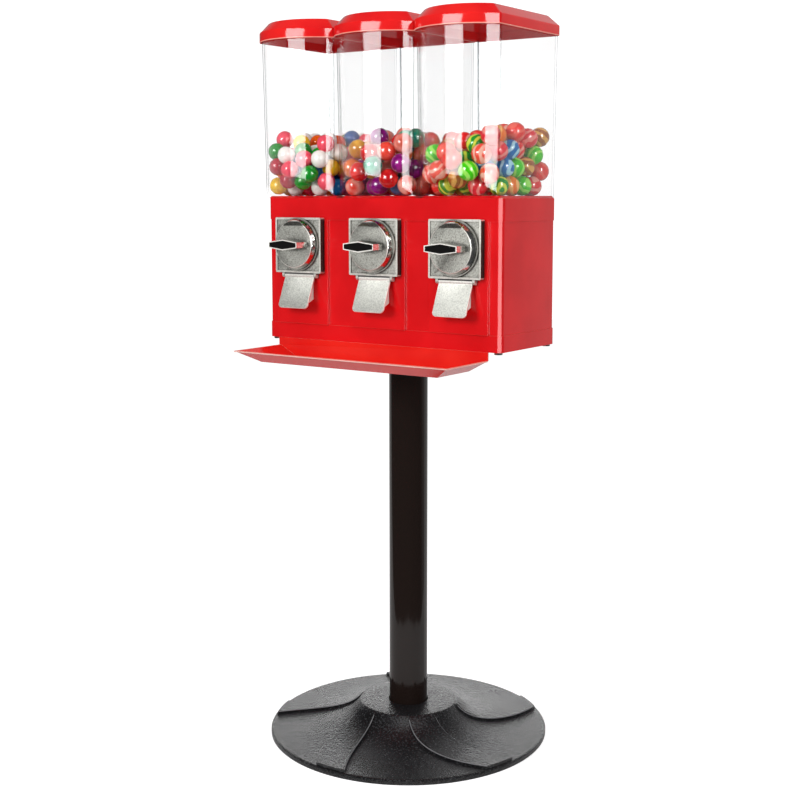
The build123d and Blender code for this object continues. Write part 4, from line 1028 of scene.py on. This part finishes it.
def dress_seen_parts():
    """Puts finishes and pieces on what shows; returns the pieces under the names of the lights' groups."""
    # Moulded ABS, polished in the mould: an even red under a soft gloss, sharper on the lids.
    red = smooth_red("moulded_red_abs", "E0141A", "D00E14", roughness=0.15)
    red_lid = smooth_red("moulded_red_lid", "E4221F", "D61418", roughness=0.1)
    # Stove-enamelled sheet steel: a warmer red.
    red_sheet = smooth_red("enamelled_red_sheet", "E62A20", "DA1A16", roughness=0.16)
    # Painted highlights on the edges and folds of both: paler lines where they would catch the studio, too
    # fine to show by their shine alone.
    red_seam_highlight = smooth_red("painted_red_seam_highlight", "EC544C", "E24640", roughness=0.2)
    red_edge_highlight = smooth_red("painted_sheet_edge_highlight", "F6A494", "EE7C6C", roughness=0.3)
    red_lip_highlight = smooth_red("painted_lip_highlight", "FED2C6", "F6B8AC", roughness=0.3)
    # Die-cast zinc: grey pebbled faces, polished rims with a painted highlight, flanks painted near-black as
    # shade, and a smooth bright boss wall.
    cast = plated_casting("plated_cast_zinc", "BCBCB4", "8C8B84", roughness=0.3, grain=1.8, depth=0.6)
    # Painted highlight: the plates' narrow rims and rounded edges get a paler, less metallic zinc over their
    # polish.
    cast_rim_highlight = plated_casting(
        "plated_cast_rim_painted_highlight", "DCDAD2", "C2C0B8", roughness=0.36, grain=2.0, depth=0.3, metallic=0.7
    )
    # Painted shade: the plates' flanks get a near-black zinc.
    cast_side_painted_shade = plated_casting("painted_shade_cast_side", "4A4A46", "2E2E2C", roughness=0.5, grain=2.5, depth=0.2)
    polished = plated_casting("polished_plating", "E2E2DE", "C4C4BE", roughness=0.14, grain=2.5)
    # The same zinc tumbled for the flaps: pale and silky, its buffed edges painted nearly white as a
    # highlight.
    tumbled = plated_casting("tumbled_cast_flap", "E4E5DD", "C4C5BD", roughness=0.38, grain=2.0, depth=0.5)
    # Painted highlight on the flaps' and knobs' narrow edges: a paler, half-metallic zinc.
    buffed_edge_highlight = plated_casting(
        "buffed_cast_edge_painted_highlight", "F4F2EC", "E2E0D8", roughness=0.42, grain=2.5, metallic=0.4
    )
    # Painted highlight on the ribs' edges: a grey line along each, where the chamfers catch the light.
    rib_edge_highlight = plain_material("painted_rib_edge_highlight", "6A6A6C", roughness=0.25)
    # Moulded styrene strip in each handle: a deep satin black.
    black = plain_material("black_insert_plastic", "111010", roughness=0.3, grain=1.5)
    # The canisters' corners are given more grey: painted shade standing in for the dark line that thick clear
    # plastic shows there.
    clear = clear_plastic("clear_polycarbonate", "FEFEFE", edge_on="B4B8BA")
    corner = clear_plastic("clear_polycarbonate_painted_corner_shade", "BCC0C2", edge_on="84888A")

    canisters = [canister_piece(k, clear, corner, red) for k in HEADS]
    lids = [lid_piece(k, red_lid, red_edge_highlight) for k in HEADS]
    base = base_piece(cast_base_paint("cast_black_paint"), rib_edge_highlight)
    casing = (("bottom_pan", 1.0), ("body_shell", 0.8), ("hopper_band", 0.9))
    # Painted highlight: the casing's narrow faces take the paler seam red.
    cased = [skin(node, STAND, [red, red_seam_highlight], width, level=True) for node, width in casing]
    # Painted highlight: the tray's narrow faces take the paler edge red.
    skin("candy_tray", STAND, [red_sheet, red_edge_highlight], width_mm=0.8, narrow_mm=4.0)
    # Painted highlight: the lip bead is a near-white pink.
    tray_lip(red_lip_highlight)
    metal, flaps = [], []
    for k in HEADS:
        plate, knob, flap = f"front_plate_{k}", f"knob_{k}", f"flap_{k}"
        metal.append(skin(plate, STAND, [cast, cast_rim_highlight, cast_side_painted_shade], width_mm=0.9, narrow_mm=3.5))
        metal.append(skin(knob, knob, [cast, buffed_edge_highlight, polished], width_mm=0.35, walls_first=True))
        flaps.append(skin(flap, flap, [tumbled, buffed_edge_highlight], width_mm=0.8))
        skin(f"knob_insert_{k}", knob, [black], width_mm=0.2)
    candies = [
        candies_piece(1, glazed_gumball(), GUMBALL_COLOURS, seed=11),
        candies_piece(2, tinted_capsule(), CAPSULE_COLOURS, seed=5),
        candies_piece(3, swirled_rubber(), BOUNCY_COLOURS, seed=8),
    ]
    dress_built_parts(red, cast)
    return {
        "canisters": canisters,
        "lids": lids,
        "base": [base],
        "casing": cased,
        "metal": metal,
        "flaps": flaps,
        "candies": candies,
    }


def dress_built_parts(red, cast):
    """Gives a finish to the parts that stay as built: the pole and all that is behind or inside."""
    # Gloss enamel on steel tube: a brown-black with long sharp reflections.
    pole_paint = plain_material(
        "black_gloss_paint", "1E1613", roughness=0.08, grain=8.0, depth=0.01, ior=1.4
    )
    # Zinc-plated steel: a cool grey with a blurred shine, and chrome on the lock: a clear one.
    zinc = plain_material("zinc_plated_steel", "B9BBB8", roughness=0.35, metallic=1.0)
    sheet_zinc = plain_material("galvanised_sheet", "B2B5B6", roughness=0.42, metallic=1.0, grain=14.0)
    lock_chrome = plain_material("lock_chrome", "D4D6D6", roughness=0.12, metallic=1.0)
    # Moulded nylon: a waxy off-white.
    nylon = plain_material("white_nylon", "E8E6DF", roughness=0.45)
    kept = {"pole": pole_paint, "cash_door": red, "cam_lock": lock_chrome, "coin_box": sheet_zinc}
    for node in ("tie_rod", "rod_nuts", "pole_flange", "flange_screws", "door_hinge", "body_screws"):
        kept[node] = zinc
    for k in HEADS:
        kept[f"shaft_{k}"] = kept[f"flap_pin_{k}"] = zinc
        kept[f"coin_wheel_{k}"] = kept[f"mechanism_housing_{k}"] = cast
        kept[f"hopper_{k}"] = red
        kept[f"pinion_{k}"] = kept[f"candy_wheel_{k}"] = kept[f"chute_{k}"] = nylon
    for node, material in kept.items():
        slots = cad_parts[node].data.materials
        slots.clear()
        slots.append(material)


def set_lights(pieces):
    """Two tall softboxes for the long reflections, cards for one finish each, and the light on all."""
    canisters, lids, base, casing = (pieces[name] for name in ("canisters", "lids", "base", "casing"))
    metal, flaps, candies = (pieces[name] for name in ("metal", "flaps", "candies"))
    # The two tall softboxes, as bright as each finish needs them.
    softbox("side_strip", *SIDE_BOX, 24, seen_by=metal + flaps + candies)
    softbox("side_window", *SIDE_BOX, 44, seen_by=lids)
    softbox("side_shine", *SIDE_BOX, 50, seen_by=canisters)
    softbox("front_strip", *FRONT_BOX, 31, seen_by=flaps + candies)
    softbox("front_window", *FRONT_BOX, 74, seen_by=lids)
    softbox("front_shine", *FRONT_BOX, 84, seen_by=canisters)
    # A haze on the canisters' left walls, and a small glint on every candy.
    softbox("left_haze", -75, 2.2, 1.0, (4.0, 2.0), 20, seen_by=canisters)
    softbox("side_glint", *SIDE_SPOT, 28, seen_by=candies)
    softbox("front_glint", *FRONT_SPOT, 28, seen_by=candies)
    # Broad cards: the casing's right side, the cast metal, and the dish's two sheens and its hub.
    softbox("corner_card", 49, 1.9, 0.9, (2.28, 1.6), 75, seen_by=casing)
    softbox("plate_card", -20, 2.3, 0.9, (2.24, 1.6), 9.4, seen_by=metal)
    softbox("plate_edge_card", -14.5, 2.3, 0.9, (1.54, 1.6), 8, seen_by=metal)
    softbox("back_card", 214, 2.0, 0.9, (2.4, 1.2), 3.4, aim=FOOT, seen_by=base)
    softbox("low_back_card", 214, 2.0, 0.35, (2.0, 0.35), 6, aim=FOOT, seen_by=base)
    softbox("hub_glint", 34, 1.2, 1.6, (0.5, 0.5), 8, aim=FOOT, seen_by=base)
    # The light on every colour.
    softbox("side_softbox", 70, 2.2, 1.3, (1.2, 1.6), 16)
    softbox("front_softbox", -12, 2.6, 1.5, (0.9, 0.9), 38)
    softbox("top_softbox", 20, 0.6, 2.6, (1.6, 1.6), 12)


def main():
    """Dresses the parts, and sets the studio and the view."""
    pieces = dress_seen_parts()
    bpy.context.scene.view_settings.view_transform = "Standard"
    # A look through all three canisters crosses many clear walls.
    bpy.context.scene.cycles.transparent_max_bounces = 32
    set_world()
    set_floor()
    set_lights(pieces)
    set_camera()


main()
